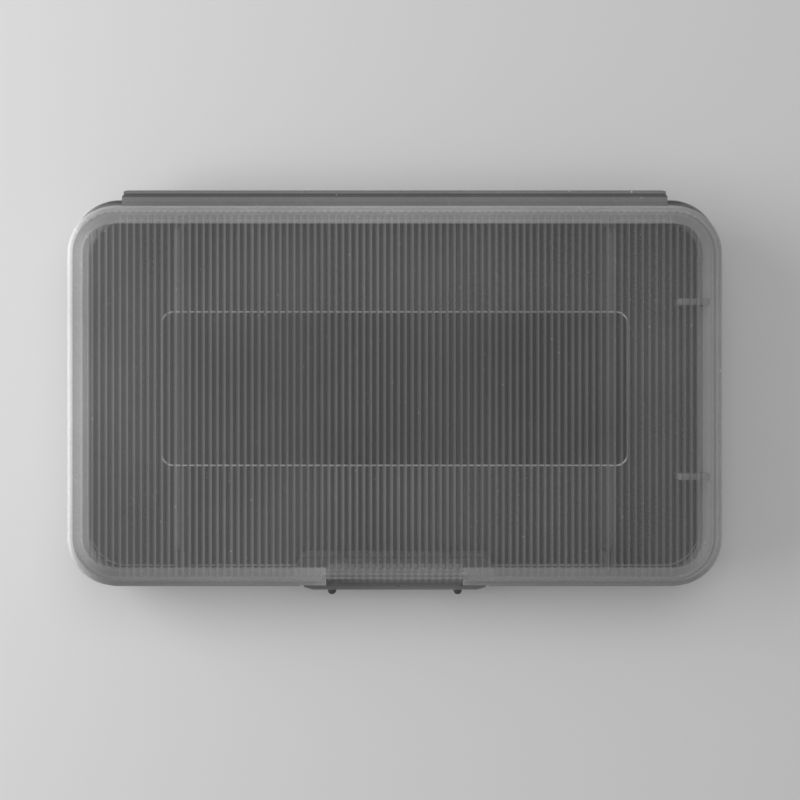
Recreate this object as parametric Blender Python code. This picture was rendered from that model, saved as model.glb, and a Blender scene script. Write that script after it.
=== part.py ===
"""Flat hinged battery case in frosted polypropylene, closed.

The tray and the lid are ribbed shells joined by a film of their own plastic along
the rear edge. A flap hangs from the front of the lid on a second film and hooks
under a shelf in the front of the tray. Two loose plates divide the tray.

+X runs along the case, +Y points to the hinge, +Z up, origin under the middle of
the tray. All sizes are in metres.
"""
import math

import bmesh
import bpy

# Whole case
CASE_LENGTH = 0.160
CASE_DEPTH = 0.0934
CASE_HEIGHT = 0.020
PARTING_HEIGHT = 0.0126
CORNER_RADIUS = 0.0123
CORNER_STEPS = 8
FILLET_STEPS = 3
SHARP_ANGLE = math.radians(30)

# Clearances
SEAT_GAP = 0.0003
RUN_GAP = 0.0002
OVERRUN = 0.001

# Lid shell
LID_BEAD_WIDTH = 0.0005
LID_BEAD_HEIGHT = 0.0010
LID_WALL = 0.0010
LID_TOP = 0.0012
LID_DRAFT = 0.0002
LID_EDGE_RADIUS = 0.0012
LID_INNER_RADIUS = 0.0006

# Tray shell
TRAY_RIM_INSET = 0.0003
TRAY_RIM_REACH = 0.0015
TRAY_RIM_THICKNESS = 0.0010
TRAY_WALL = 0.0011
TRAY_FLOOR = 0.0013
TRAY_DRAFT = 0.0002
TRAY_EDGE_RADIUS = 0.0015
TRAY_INNER_RADIUS = 0.0008
TRAY_LIP_WALL = 0.00055
TRAY_LIP_HEIGHT = 0.0014

# Ribs on the inner faces of the lid and the floor
RIB_PITCH = 0.00169
RIB_WIDTH = 0.00085
RIB_HEIGHT = 0.00045
RIB_COUNT = 88
RIB_FACETS = 4
RIB_ROOT = 0.00005
RIB_END_GAP = 0.0009

# Label panel sunk into the top of the lid
LABEL_LENGTH = 0.1124
LABEL_DEPTH = 0.0370
LABEL_RADIUS = 0.0027
LABEL_SINK = 0.00025
LABEL_SHIFT = 0.0017
LABEL_STEPS = 5

# Hinge flanges and film along the rear edge
HINGE_LENGTH = 0.1346
HINGE_REACH = 0.0027
HINGE_FLANGE = 0.0010
HINGE_END_SLOPE = 0.0004
HINGE_END_RADIUS = 0.0008
FILM_THICKNESS = 0.00035
FILM_LEG = 0.00055
FILM_BEND = 0.000375
FILM_STEPS = 8

# Latch window in the lid and the shelf in it
WINDOW_LENGTH = 0.0332
WINDOW_SETBACK = 0.0015
WINDOW_WALL = 0.0010
SHELF_THICKNESS = 0.0010

# Latch recess in the front of the tray
RECESS_LENGTH = 0.0466
RECESS_SETBACK = 0.0043
RECESS_WALL = 0.0012
RECESS_RADIUS = 0.0015
CATCH_REACH = 0.0033
CATCH_THICKNESS = 0.0012
CATCH_HEIGHT = 0.0076
CATCH_END_GAP = 0.0004

# Latch flap
FLAP_LENGTH = 0.0448
FLAP_THICKNESS = 0.0011
FLAP_TIP = 0.00045
FLAP_TAPER = 0.0022
FLAP_FOOT_HEIGHT = 0.0030
FLAP_FOOT_RADIUS = 0.0030
FLAP_BEND = 0.0004
NOSE_END_GAP = 0.0008
NOSE_HEIGHT = 0.0024
NOSE_TIP = 0.0005
GRIP_SPACING = 0.0310
GRIP_RADIUS = 0.00105
GRIP_REACH = 0.0013
GRIP_STEPS = 10
GRIP_END_GAP = 0.0008

# Guides that hold the dividers, on the rear and front walls of the tray
GUIDE_SPACING = 0.0528
GUIDE_SLOT = 0.0010
GUIDE_WALL = 0.0006
GUIDE_REAR_REACH = 0.00295
GUIDE_FRONT_REACH = 0.00175
GUIDE_TOP_DROP = 0.0008

# Dividers
DIVIDER_THICKNESS = 0.0018
DIVIDER_TONGUE = 0.0006
DIVIDER_CORNER = 0.0025
DIVIDER_TOP_GAP = 0.0004

# Fins on the right wall and gussets behind the latch recess
FIN_LENGTH = 0.0078
FIN_THICKNESS = 0.0016
FIN_SPACING = 0.0432
FIN_TAPER = 0.0003
FIN_TOP_DROP = 0.0010
GUSSET_SPACING = 0.0266
GUSSET_REACH = 0.0018
GUSSET_THICKNESS = 0.0012

# Places worked out from the sizes above
HALF_LENGTH = CASE_LENGTH / 2
HALF_DEPTH = CASE_DEPTH / 2
LID_BOTTOM = PARTING_HEIGHT + SEAT_GAP / 2
RIM_TOP = PARTING_HEIGHT - SEAT_GAP / 2
RIM_BOTTOM = RIM_TOP - TRAY_RIM_THICKNESS
CEILING = CASE_HEIGHT - LID_TOP
LIP_OUTER_INSET = LID_BEAD_WIDTH + LID_WALL + RUN_GAP
LIP_INNER_INSET = LIP_OUTER_INSET + TRAY_LIP_WALL
TRAY_WALL_INSET = LIP_INNER_INSET - TRAY_WALL
LIP_TOP = PARTING_HEIGHT + TRAY_LIP_HEIGHT
RIB_TOP = TRAY_FLOOR + RIB_HEIGHT
RIB_FIELD_HALF = RIB_PITCH * RIB_COUNT / 2

HINGE_EDGE = HALF_DEPTH + HINGE_REACH
FILM_HALF_RUN = FILM_LEG + FILM_BEND * math.pi / 2
HINGE_AXIS_Y = HINGE_EDGE + FILM_HALF_RUN

LID_FACE = -HALF_DEPTH + LID_BEAD_WIDTH
WINDOW_FACE = LID_FACE + WINDOW_SETBACK
FLAP_TOP = LID_BOTTOM + FILM_THICKNESS / 2 - FLAP_BEND - SEAT_GAP
FLAP_INNER = LID_FACE - FLAP_BEND + FILM_THICKNESS / 2 - RUN_GAP
FLAP_OUTER = FLAP_INNER - FLAP_THICKNESS
FLAP_FILM_RUN = FLAP_BEND * math.pi / 2 + SEAT_GAP + RUN_GAP
FLAP_AXIS_Y = (FLAP_INNER + LID_FACE - FLAP_FILM_RUN + LID_BOTTOM - FLAP_TOP) / 2
FLAP_AXIS_Z = LID_BOTTOM + FLAP_INNER - FLAP_AXIS_Y

TRAY_FACE = -HALF_DEPTH + TRAY_WALL_INSET
RECESS_FACE = TRAY_FACE + RECESS_SETBACK
RECESS_INNER = RECESS_FACE + RECESS_WALL
CATCH_TIP = RECESS_FACE - CATCH_REACH
NOSE_TOP = CATCH_HEIGHT - SEAT_GAP
NOSE_REACH = CATCH_TIP - SEAT_GAP

GUIDE_REAR = HALF_DEPTH - LIP_INNER_INSET - GUIDE_REAR_REACH
GUIDE_FRONT = RECESS_INNER + GUIDE_FRONT_REACH
GUIDE_MIDDLE = (GUIDE_REAR + GUIDE_FRONT) / 2
GUIDE_TOP = RIM_TOP - GUIDE_TOP_DROP
DIVIDER_PLACES = (-GUIDE_SPACING, GUIDE_SPACING)
GUIDE_PLACES = (-GUIDE_SPACING, 0, GUIDE_SPACING)


def clear_scene():
    """Take every object out of the scene."""
    for item in list(bpy.data.objects):
        bpy.data.objects.remove(item, do_unlink=True)


def frosted_plastic(name, grey, roughness, clearness):
    """Milky polypropylene: a pale grey that lets part of the light through."""
    material = bpy.data.materials.new(name)
    material.use_nodes = True
    surface = material.node_tree.nodes["Principled BSDF"]
    surface.inputs["Base Color"].default_value = (grey, grey, grey, 1)
    surface.inputs["Roughness"].default_value = roughness
    surface.inputs["Metallic"].default_value = 0
    surface.inputs["Transmission Weight"].default_value = clearness
    return material


def rounded_outline(x_low, x_high, y_low, y_high, radius, steps):
    """Rectangle with quarter-circle corners, anticlockwise."""
    centres = (
        (x_high - radius, y_high - radius),
        (x_low + radius, y_high - radius),
        (x_low + radius, y_low + radius),
        (x_high - radius, y_low + radius),
    )
    points = []
    for turn, (x_centre, y_centre) in enumerate(centres):
        for step in range(steps + 1):
            angle = (turn + step / steps) * math.pi / 2
            points.append((x_centre + radius * math.cos(angle),
                           y_centre + radius * math.sin(angle)))
    return points


def case_outline(inset, rear_reach=0):
    """Outline of the case drawn in by an inset, with the rear edge pushed out."""
    return rounded_outline(-HALF_LENGTH + inset, HALF_LENGTH - inset,
                           -HALF_DEPTH + inset, HALF_DEPTH - inset + rear_reach,
                           CORNER_RADIUS - inset, CORNER_STEPS)


def fillet_insets(inset, height, radius, upward):
    """Insets and heights of an edge fillet that ends in a flat face.

    The arc starts on the wall at the inset, one radius away from the flat face at
    the height, and turns in until it meets that face.
    """
    side = 1 if upward else -1
    rings = []
    for step in range(FILLET_STEPS + 1):
        angle = step / FILLET_STEPS * math.pi / 2
        rings.append((inset + radius * (1 - math.cos(angle)),
                      height - side * radius * (1 - math.sin(angle))))
    return rings


def add_object(name, vertices, faces):
    """Make an object with its faces turned outwards."""
    mesh = bpy.data.meshes.new(name)
    mesh.from_pydata(vertices, [], faces)
    shape = bmesh.new()
    shape.from_mesh(mesh)
    bmesh.ops.recalc_face_normals(shape, faces=shape.faces)
    shape.to_mesh(mesh)
    shape.free()
    item = bpy.data.objects.new(name, mesh)
    bpy.context.collection.objects.link(item)
    return item


def loft(name, rings):
    """Closed solid through outlines of equal count, each at its height."""
    count = len(rings[0][0])
    vertices = [(x, y, height) for outline, height in rings for x, y in outline]
    faces = [tuple(range(count)), tuple(range(len(vertices) - count, len(vertices)))]
    for ring in range(len(rings) - 1):
        first = ring * count
        for corner in range(count):
            after = (corner + 1) % count
            faces.append((first + corner, first + after,
                          first + count + after, first + count + corner))
    return add_object(name, vertices, faces)


def prism(name, outline, low, high, axis):
    """Outline in the two other axes, carried along one axis from low to high."""
    place = {
        "x": lambda a, b, along: (along, a, b),
        "y": lambda a, b, along: (a, along, b),
        "z": lambda a, b, along: (a, b, along),
    }[axis]
    count = len(outline)
    vertices = [place(a, b, along) for along in (low, high) for a, b in outline]
    faces = [tuple(range(count)), tuple(range(count, 2 * count))]
    for corner in range(count):
        after = (corner + 1) % count
        faces.append((corner, after, count + after, count + corner))
    return add_object(name, vertices, faces)


def box_outline(a_low, a_high, b_low, b_high):
    """Plain rectangle."""
    return [(a_low, b_low), (a_high, b_low), (a_high, b_high), (a_low, b_high)]


def combine(target, other, operation):
    """Cut, join or meet the target with another solid, which is then hidden."""
    modifier = target.modifiers.new(other.name, "BOOLEAN")
    modifier.operation = operation
    modifier.solver = "EXACT"
    modifier.object = other
    other.hide_render = True
    other.display_type = "WIRE"
    other.parent = target
    other.matrix_parent_inverse = target.matrix_world.inverted()


def finish(item, material):
    """Give a node its material and smooth shading with sharp edges kept."""
    item.data.materials.append(material)
    item.data.shade_smooth()
    item.data.set_sharp_from_angle(angle=SHARP_ANGLE)


def rib_comb(name, level, side):
    """Slab with half-round ribs along Y that stand out of a level to one side."""
    points = [(-RIB_FIELD_HALF - OVERRUN, level - side * OVERRUN),
              (-RIB_FIELD_HALF - OVERRUN, level - side * RIB_ROOT)]
    for index in range(RIB_COUNT):
        centre = (index + 1 / 2) * RIB_PITCH - RIB_FIELD_HALF
        for facet in range(RIB_FACETS + 1):
            angle = facet / RIB_FACETS * math.pi
            rise = (RIB_HEIGHT + RIB_ROOT) * math.sin(angle) - RIB_ROOT
            points.append((centre - RIB_WIDTH / 2 * math.cos(angle), level + side * rise))
    points += [(RIB_FIELD_HALF + OVERRUN, level - side * RIB_ROOT),
               (RIB_FIELD_HALF + OVERRUN, level - side * OVERRUN)]
    return prism(name, points, -HALF_DEPTH, HALF_DEPTH, "y")


def hinge_flange(name, low):
    """Strip behind the wall that carries one edge of the hinge film."""
    half = HINGE_LENGTH / 2
    tip = half - HINGE_END_SLOPE
    root_y = HALF_DEPTH - LID_BEAD_WIDTH - LID_WALL / 2
    points = [(-half, root_y), (half, root_y)]
    for side in (1, -1):
        corner = []
        for step in range(FILLET_STEPS + 1):
            angle = step / FILLET_STEPS * math.pi / 2
            corner.append((side * (tip - HINGE_END_RADIUS * (1 - math.cos(angle))),
                           HINGE_EDGE - HINGE_END_RADIUS * (1 - math.sin(angle))))
        points += corner if side > 0 else corner[::-1]
    return prism(name, points, low, low + HINGE_FLANGE, "z")


def lid_shell(material):
    """Lid: drafted wall with a bead, ribbed ceiling, label panel and latch window."""
    bead_top = LID_BOTTOM + LID_BEAD_HEIGHT
    top_inset = LID_BEAD_WIDTH + LID_DRAFT
    rings = [(0, LID_BOTTOM), (0, bead_top), (LID_BEAD_WIDTH, bead_top)]
    rings += fillet_insets(top_inset, CASE_HEIGHT, LID_EDGE_RADIUS, True)
    lid = loft("lid_shell", [(case_outline(inset), z) for inset, z in rings])

    wall_inset = LID_BEAD_WIDTH + LID_WALL
    rings = [(wall_inset, LID_BOTTOM - OVERRUN), (wall_inset, LID_BOTTOM)]
    rings += fillet_insets(wall_inset + LID_DRAFT, CEILING, LID_INNER_RADIUS, True)
    hollow = loft("lid_hollow", [(case_outline(inset), z) for inset, z in rings])
    combine(hollow, rib_comb("lid_ribs", CEILING, -1), "DIFFERENCE")

    half_window = WINDOW_LENGTH / 2
    inner_face = WINDOW_FACE + WINDOW_WALL
    window_wall = prism("lid_window_wall",
                        box_outline(-half_window - WINDOW_WALL, half_window + WINDOW_WALL,
                                    -HALF_DEPTH, inner_face),
                        LID_BOTTOM - OVERRUN, CASE_HEIGHT, "z")
    combine(hollow, window_wall, "DIFFERENCE")
    combine(lid, hollow, "DIFFERENCE")

    window = prism("lid_window", box_outline(-half_window, half_window,
                                             -HALF_DEPTH - OVERRUN, WINDOW_FACE),
                   LID_BOTTOM + SHELF_THICKNESS, CASE_HEIGHT + OVERRUN, "z")
    combine(lid, window, "DIFFERENCE")
    bead_cut = prism("lid_bead_cut", box_outline(-RECESS_LENGTH / 2, RECESS_LENGTH / 2,
                                                 -HALF_DEPTH - OVERRUN, LID_FACE),
                     LID_BOTTOM - OVERRUN, CASE_HEIGHT, "z")
    combine(lid, bead_cut, "DIFFERENCE")

    label = rounded_outline(-LABEL_LENGTH / 2, LABEL_LENGTH / 2,
                            LABEL_SHIFT - LABEL_DEPTH / 2, LABEL_SHIFT + LABEL_DEPTH / 2,
                            LABEL_RADIUS, LABEL_STEPS)
    combine(lid, prism("lid_label", label, CASE_HEIGHT - LABEL_SINK,
                       CASE_HEIGHT + OVERRUN, "z"), "DIFFERENCE")
    combine(lid, hinge_flange("lid_flange", LID_BOTTOM), "UNION")
    finish(lid, material)
    return lid


def tray_shell(material):
    """Tray: drafted walls, rim, lip inside the lid, ribbed floor and latch recess."""
    foot_inset = TRAY_WALL_INSET + TRAY_DRAFT
    arc = fillet_insets(foot_inset, 0, TRAY_EDGE_RADIUS, False)[::-1]
    rings = [(case_outline(inset), z) for inset, z in arc]
    rings += [(case_outline(TRAY_WALL_INSET), RIM_BOTTOM),
              (case_outline(TRAY_RIM_INSET, TRAY_RIM_INSET + TRAY_RIM_REACH), RIM_BOTTOM),
              (case_outline(TRAY_RIM_INSET, TRAY_RIM_INSET + TRAY_RIM_REACH), RIM_TOP),
              (case_outline(LIP_OUTER_INSET), RIM_TOP),
              (case_outline(LIP_OUTER_INSET), LIP_TOP)]
    tray = loft("tray_shell", rings)

    floor_inset = LIP_INNER_INSET + TRAY_DRAFT
    arc = fillet_insets(floor_inset, TRAY_FLOOR, TRAY_INNER_RADIUS, False)[::-1]
    arc += [(LIP_INNER_INSET, LIP_TOP), (LIP_INNER_INSET, LIP_TOP + OVERRUN)]
    hollow = loft("tray_hollow", [(case_outline(inset), z) for inset, z in arc])
    ribs = rib_comb("tray_ribs", TRAY_FLOOR, 1)
    field = prism("tray_rib_field", case_outline(floor_inset + RIB_END_GAP),
                  TRAY_FLOOR - OVERRUN - OVERRUN, TRAY_FLOOR + OVERRUN, "z")
    combine(ribs, field, "INTERSECT")
    combine(hollow, ribs, "DIFFERENCE")
    combine(tray, hollow, "DIFFERENCE")

    half = RECESS_LENGTH / 2
    wall_middle = TRAY_FACE + TRAY_WALL / 2
    bump = rounded_outline(-half - RECESS_WALL, half + RECESS_WALL,
                           wall_middle - RECESS_SETBACK, RECESS_INNER,
                           RECESS_RADIUS + RECESS_WALL, FILLET_STEPS)
    bump = [(x, max(y, wall_middle)) for x, y in bump]
    combine(tray, prism("recess_wall", bump, TRAY_FLOOR / 2, RIM_TOP, "z"), "UNION")
    pocket = rounded_outline(-half, half, TRAY_FACE - RECESS_SETBACK, RECESS_FACE,
                             RECESS_RADIUS, FILLET_STEPS)
    combine(tray, prism("recess_pocket", pocket, -OVERRUN, RIM_BOTTOM, "z"), "DIFFERENCE")

    half_window = WINDOW_LENGTH / 2
    notch = box_outline(-half_window, half_window, -HALF_DEPTH - OVERRUN,
                        WINDOW_FACE + WINDOW_WALL / 2)
    combine(tray, prism("window_notch", notch, RIM_BOTTOM - OVERRUN, LIP_TOP + OVERRUN, "z"),
            "DIFFERENCE")
    lip_room = box_outline(-half_window - WINDOW_WALL - RUN_GAP,
                           half_window + WINDOW_WALL + RUN_GAP,
                           -HALF_DEPTH - OVERRUN, RECESS_INNER + OVERRUN)
    combine(tray, prism("lip_notch", lip_room, RIM_TOP, LIP_TOP + OVERRUN, "z"),
            "DIFFERENCE")

    catch = [(RECESS_FACE + RECESS_WALL / 2, CATCH_HEIGHT),
             (CATCH_TIP, CATCH_HEIGHT),
             (CATCH_TIP, CATCH_HEIGHT + CATCH_THICKNESS / 2),
             (CATCH_TIP + CATCH_THICKNESS / 2, CATCH_HEIGHT + CATCH_THICKNESS),
             (RECESS_FACE + RECESS_WALL / 2, CATCH_HEIGHT + CATCH_THICKNESS)]
    combine(tray, prism("catch_shelf", catch, -half_window + CATCH_END_GAP,
                        half_window - CATCH_END_GAP, "x"), "UNION")

    for index, place in enumerate(GUIDE_PLACES):
        add_guides(tray, index, place)
    add_fins(tray)
    add_gussets(tray)
    combine(tray, hinge_flange("tray_flange", RIM_TOP - HINGE_FLANGE), "UNION")
    finish(tray, material)
    return tray


def add_guides(tray, index, place):
    """One U-shaped guide on the rear wall and one on the front wall."""
    outer = GUIDE_SLOT / 2 + GUIDE_WALL
    rear_wall = HALF_DEPTH - LIP_INNER_INSET
    front_wall = RECESS_INNER if place == 0 else -HALF_DEPTH + LIP_INNER_INSET
    runs = (("rear", GUIDE_REAR, rear_wall, TRAY_WALL / 2),
            ("front", GUIDE_FRONT, front_wall, -TRAY_WALL / 2))
    for side, tip, wall, root in runs:
        slot_end = wall - root / 4
        points = [(-outer, wall + root), (-outer, tip), (-GUIDE_SLOT / 2, tip),
                  (-GUIDE_SLOT / 2, slot_end), (GUIDE_SLOT / 2, slot_end),
                  (GUIDE_SLOT / 2, tip), (outer, tip), (outer, wall + root)]
        outline = [(place + x, y) for x, y in points]
        guide = prism(f"guide_{side}_{index}", outline, TRAY_FLOOR / 2, GUIDE_TOP, "z")
        combine(tray, guide, "UNION")


def add_fins(tray):
    """Two upright fins on the right wall, thinner at the top."""
    wall = HALF_LENGTH - LIP_INNER_INSET + TRAY_WALL / 2
    tip = HALF_LENGTH - LIP_INNER_INSET - TRAY_DRAFT - FIN_LENGTH
    for side in (-1, 1):
        centre = GUIDE_MIDDLE + side * FIN_SPACING / 2
        foot = box_outline(tip, wall, centre - FIN_THICKNESS / 2, centre + FIN_THICKNESS / 2)
        head = box_outline(tip + FIN_TAPER, wall, centre - FIN_THICKNESS / 2 + FIN_TAPER,
                           centre + FIN_THICKNESS / 2 - FIN_TAPER)
        fin = loft(f"fin_{(side + 1) // 2}", [(foot, TRAY_FLOOR / 2),
                                              (head, RIM_TOP - FIN_TOP_DROP)])
        combine(tray, fin, "UNION")


def add_gussets(tray):
    """Two small braces on the inner face of the latch recess."""
    for side in (-1, 1):
        centre = side * GUSSET_SPACING / 2
        profile = [(RECESS_INNER - RECESS_WALL / 2, TRAY_FLOOR / 2),
                   (RECESS_INNER + GUSSET_REACH, TRAY_FLOOR / 2),
                   (RECESS_INNER + GUSSET_REACH, RIM_TOP - FIN_TOP_DROP - GUSSET_REACH),
                   (RECESS_INNER, RIM_TOP - FIN_TOP_DROP),
                   (RECESS_INNER - RECESS_WALL / 2, RIM_TOP - FIN_TOP_DROP)]
        gusset = prism(f"gusset_{(side + 1) // 2}", profile,
                       centre - GUSSET_THICKNESS / 2, centre + GUSSET_THICKNESS / 2, "x")
        combine(tray, gusset, "UNION")


def hinge_film(material):
    """Thin strip folded round the rear edge, from flange to flange."""
    outer = FILM_BEND + FILM_THICKNESS / 2
    inner = FILM_BEND - FILM_THICKNESS / 2
    start = HINGE_EDGE + SEAT_GAP
    centre = HINGE_EDGE + FILM_LEG
    arc = [step / FILM_STEPS * math.pi - math.pi / 2 for step in range(FILM_STEPS + 1)]
    points = [(start, PARTING_HEIGHT - outer)]
    points += [(centre + outer * math.cos(angle), PARTING_HEIGHT + outer * math.sin(angle))
               for angle in arc]
    points += [(start, PARTING_HEIGHT + outer), (start, PARTING_HEIGHT + inner)]
    points += [(centre + inner * math.cos(angle), PARTING_HEIGHT + inner * math.sin(angle))
               for angle in reversed(arc)]
    points += [(start, PARTING_HEIGHT - inner)]
    half = HINGE_LENGTH / 2 - HINGE_END_SLOPE - HINGE_END_RADIUS
    film = prism("hinge_film", points, -half, half, "x")
    finish(film, material)
    return film


def latch_film(material):
    """Thin strip that bends from the shelf in the window down to the flap."""
    outer = FLAP_BEND + FILM_THICKNESS / 2
    inner = FLAP_BEND - FILM_THICKNESS / 2
    y_centre = LID_FACE - RUN_GAP
    z_centre = LID_BOTTOM + FILM_THICKNESS / 2 - FLAP_BEND
    arc = [math.pi / 2 + step / FILM_STEPS * math.pi / 2 for step in range(FILM_STEPS + 1)]
    points = [(y_centre + outer * math.cos(angle), z_centre + outer * math.sin(angle))
              for angle in arc]
    points += [(y_centre + inner * math.cos(angle), z_centre + inner * math.sin(angle))
               for angle in reversed(arc)]
    half = WINDOW_LENGTH / 2 - CATCH_END_GAP
    film = prism("latch_film", points, -half, half, "x")
    finish(film, material)
    return film


def latch_flap(material):
    """Flap with tapered ends, rounded foot, hook nose and two half-round grips."""
    half = FLAP_LENGTH / 2
    plan = [(-half, FLAP_INNER), (-half, FLAP_INNER - FLAP_TIP),
            (-half + FLAP_TAPER, FLAP_OUTER), (half - FLAP_TAPER, FLAP_OUTER),
            (half, FLAP_INNER - FLAP_TIP), (half, FLAP_INNER)]
    flap = prism("latch_flap", plan, FLAP_FOOT_HEIGHT, FLAP_TOP, "z")
    front = rounded_outline(-half, half, FLAP_FOOT_HEIGHT, FLAP_TOP + FLAP_FOOT_RADIUS,
                            FLAP_FOOT_RADIUS, CORNER_STEPS)
    combine(flap, prism("flap_front", front, FLAP_OUTER - OVERRUN, FLAP_INNER + OVERRUN, "y"),
            "INTERSECT")

    nose = [(FLAP_INNER - FLAP_THICKNESS / 2, NOSE_TOP),
            (NOSE_REACH, NOSE_TOP),
            (NOSE_REACH, NOSE_TOP - NOSE_TIP),
            (FLAP_INNER, NOSE_TOP - NOSE_HEIGHT),
            (FLAP_INNER - FLAP_THICKNESS / 2, NOSE_TOP - NOSE_HEIGHT)]
    half_nose = WINDOW_LENGTH / 2 - NOSE_END_GAP
    combine(flap, prism("flap_nose", nose, -half_nose, half_nose, "x"), "UNION")

    for side in (-1, 1):
        centre = side * GRIP_SPACING / 2
        grip = [(centre + GRIP_RADIUS, FLAP_INNER - FLAP_THICKNESS / 2)]
        for step in range(GRIP_STEPS + 1):
            angle = -step / GRIP_STEPS * math.pi
            grip.append((centre + GRIP_RADIUS * math.cos(angle),
                         FLAP_OUTER - GRIP_REACH + GRIP_RADIUS
                         + GRIP_RADIUS * math.sin(angle)))
        grip.append((centre - GRIP_RADIUS, FLAP_INNER - FLAP_THICKNESS / 2))
        combine(flap, prism(f"flap_grip_{(side + 1) // 2}", grip,
                            FLAP_FOOT_HEIGHT + GRIP_END_GAP, FLAP_TOP - GRIP_END_GAP, "z"),
                "UNION")
    finish(flap, material)
    return flap


def divider(name, place, material):
    """Loose plate whose thin ends slide down into the guides."""
    low = RIB_TOP + SEAT_GAP
    high = CEILING - RIB_HEIGHT - DIVIDER_TOP_GAP
    body = rounded_outline(GUIDE_FRONT + SEAT_GAP, GUIDE_REAR - SEAT_GAP,
                           low - DIVIDER_CORNER, high, DIVIDER_CORNER, FILLET_STEPS)
    body = [(y, max(z, low)) for y, z in body]
    plate = prism(name, body, place - DIVIDER_THICKNESS / 2, place + DIVIDER_THICKNESS / 2,
                  "x")
    inset = LIP_INNER_INSET + TRAY_DRAFT + TRAY_INNER_RADIUS
    tongue = box_outline(-HALF_DEPTH + inset + SEAT_GAP, HALF_DEPTH - inset - SEAT_GAP,
                         low, GUIDE_TOP)
    combine(plate, prism(f"{name}_tongue", tongue, place - DIVIDER_TONGUE / 2,
                         place + DIVIDER_TONGUE / 2, "x"), "UNION")
    finish(plate, material)
    return plate


def pivot(name, child, y_place, z_place):
    """Empty on a joint axis that carries the pieces that turn with it."""
    empty = bpy.data.objects.new(name, None)
    empty.location = (0, y_place, z_place)
    bpy.context.collection.objects.link(empty)
    bpy.context.view_layer.update()
    for item in child:
        item.parent = empty
        item.matrix_parent_inverse = empty.matrix_world.inverted()
    return empty


def main():
    """Build the closed case."""
    clear_scene()
    shell = frosted_plastic("frosted_polypropylene", 0.55, 0.45, 0.6)
    thin = frosted_plastic("flexed_polypropylene", 0.65, 0.35, 0.7)
    inner = frosted_plastic("divider_polypropylene", 0.5, 0.5, 0.6)

    tray_shell(shell)
    for side, place in zip(("left", "right"), DIVIDER_PLACES):
        divider(f"divider_{side}", place, inner)
    lid = lid_shell(shell)
    hinge_film(thin)
    bend = latch_film(thin)
    flap = latch_flap(shell)
    flap_pivot = pivot("latch_pivot", [flap], FLAP_AXIS_Y, FLAP_AXIS_Z)
    pivot("lid_pivot", [lid, bend, flap_pivot], HINGE_AXIS_Y, PARTING_HEIGHT)


main()
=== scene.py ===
# %% [markdown]
# # A flat hinged case in frosted polypropylene
#
# The real case is one injection moulding: a tray, a lid, and two strips thin enough to bend,
# one along the back as the hinge and one at the front for the latch flap. The plastic is
# milky. Thin walls let most of the light through, thick ones look paler, and you can see
# the ribs of the floor through the ribs of the lid.
#
# We load the engineering model first. It fixes where everything is and how it moves. Then
# we build a finer skin for each moulding and let it ride on the same moving bodies.

# %% Load the frame
import math

import bpy
import numpy as np
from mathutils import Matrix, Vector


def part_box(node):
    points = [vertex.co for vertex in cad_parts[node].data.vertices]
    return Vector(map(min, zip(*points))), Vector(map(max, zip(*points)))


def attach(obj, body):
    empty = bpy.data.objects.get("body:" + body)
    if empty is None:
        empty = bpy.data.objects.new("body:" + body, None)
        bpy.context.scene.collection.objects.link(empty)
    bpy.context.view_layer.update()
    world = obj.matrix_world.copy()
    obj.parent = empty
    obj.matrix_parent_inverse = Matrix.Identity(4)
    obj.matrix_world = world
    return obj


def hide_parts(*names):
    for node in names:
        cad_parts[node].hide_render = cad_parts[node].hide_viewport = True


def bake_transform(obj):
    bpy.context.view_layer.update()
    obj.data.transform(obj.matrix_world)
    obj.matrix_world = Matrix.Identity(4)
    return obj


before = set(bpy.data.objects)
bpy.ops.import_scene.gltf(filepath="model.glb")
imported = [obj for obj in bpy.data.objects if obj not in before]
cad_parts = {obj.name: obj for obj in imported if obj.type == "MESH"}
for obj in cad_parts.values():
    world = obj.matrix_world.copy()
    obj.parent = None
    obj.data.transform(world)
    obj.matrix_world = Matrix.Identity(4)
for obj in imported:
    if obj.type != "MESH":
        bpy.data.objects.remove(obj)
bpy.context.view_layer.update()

print("nodes of the model:", ", ".join(sorted(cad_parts)))

# %% [markdown]
# ## Sizes
#
# The case is written in millimetres, because that is how a mould maker thinks, and its
# points turn into metres when a mesh is made. Floor, lights and camera are in metres. X
# runs along the case, Y points to the hinge, Z is up. The outer sizes come from the model,
# so the skins follow it. Wall thicknesses and radii are ours to name.

# %% The main sizes of the case
MILLIMETRE = 0.001


def box_mm(node):
    """Lowest and highest corner of a node of the model, in millimetres."""
    return np.round(np.array(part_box(node)) / MILLIMETRE, 3)


lid_low, lid_high = box_mm("lid_shell")
HALF_LENGTH, HALF_DEPTH = lid_high[0], -lid_low[1]
TOP, LID_FOOT, HINGE_EDGE = lid_high[2], lid_low[2], lid_high[1]
SEAT_GAP = 0.3
RIM_TOP = LID_FOOT - SEAT_GAP
CORNER = 12.3
STRAIGHT_X, STRAIGHT_Y = HALF_LENGTH - CORNER, HALF_DEPTH - CORNER
SHEET, DRAFT = 1.2, 0.2
CEILING = TOP - SHEET
FLOOR = 1.3
RIB_PITCH, RIB_HALF, RIB_HEIGHT, RIB_COUNT = 1.69, 0.5, 0.45, 88
WINDOW, RECESS = 16.6, 23.3
X, Y, Z = 0, 1, 2
print(f"case {2 * HALF_LENGTH:.0f} x {2 * HALF_DEPTH:.1f} x {TOP:.0f} mm, {RIB_COUNT} ribs")

# %% [markdown]
# ## Putting arrays into a mesh
#
# All pieces here are arrays of points, so one function makes every mesh of the case. It also
# stores one number for each point, its milk: how pale the plastic looks there. Thin sheets
# scatter little light and get a low number, thick edges get a high one. The same number also
# carries painted light: painted glows, painted highlights, and some sides painted paler than
# others where the lamps fall on them. The materials read it later. A painted texture would
# need UV maps, and a number on each point needs none and moves with the mesh.

# %% A mesh from arrays
SMOOTH_UP_TO = math.radians(38)


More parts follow.
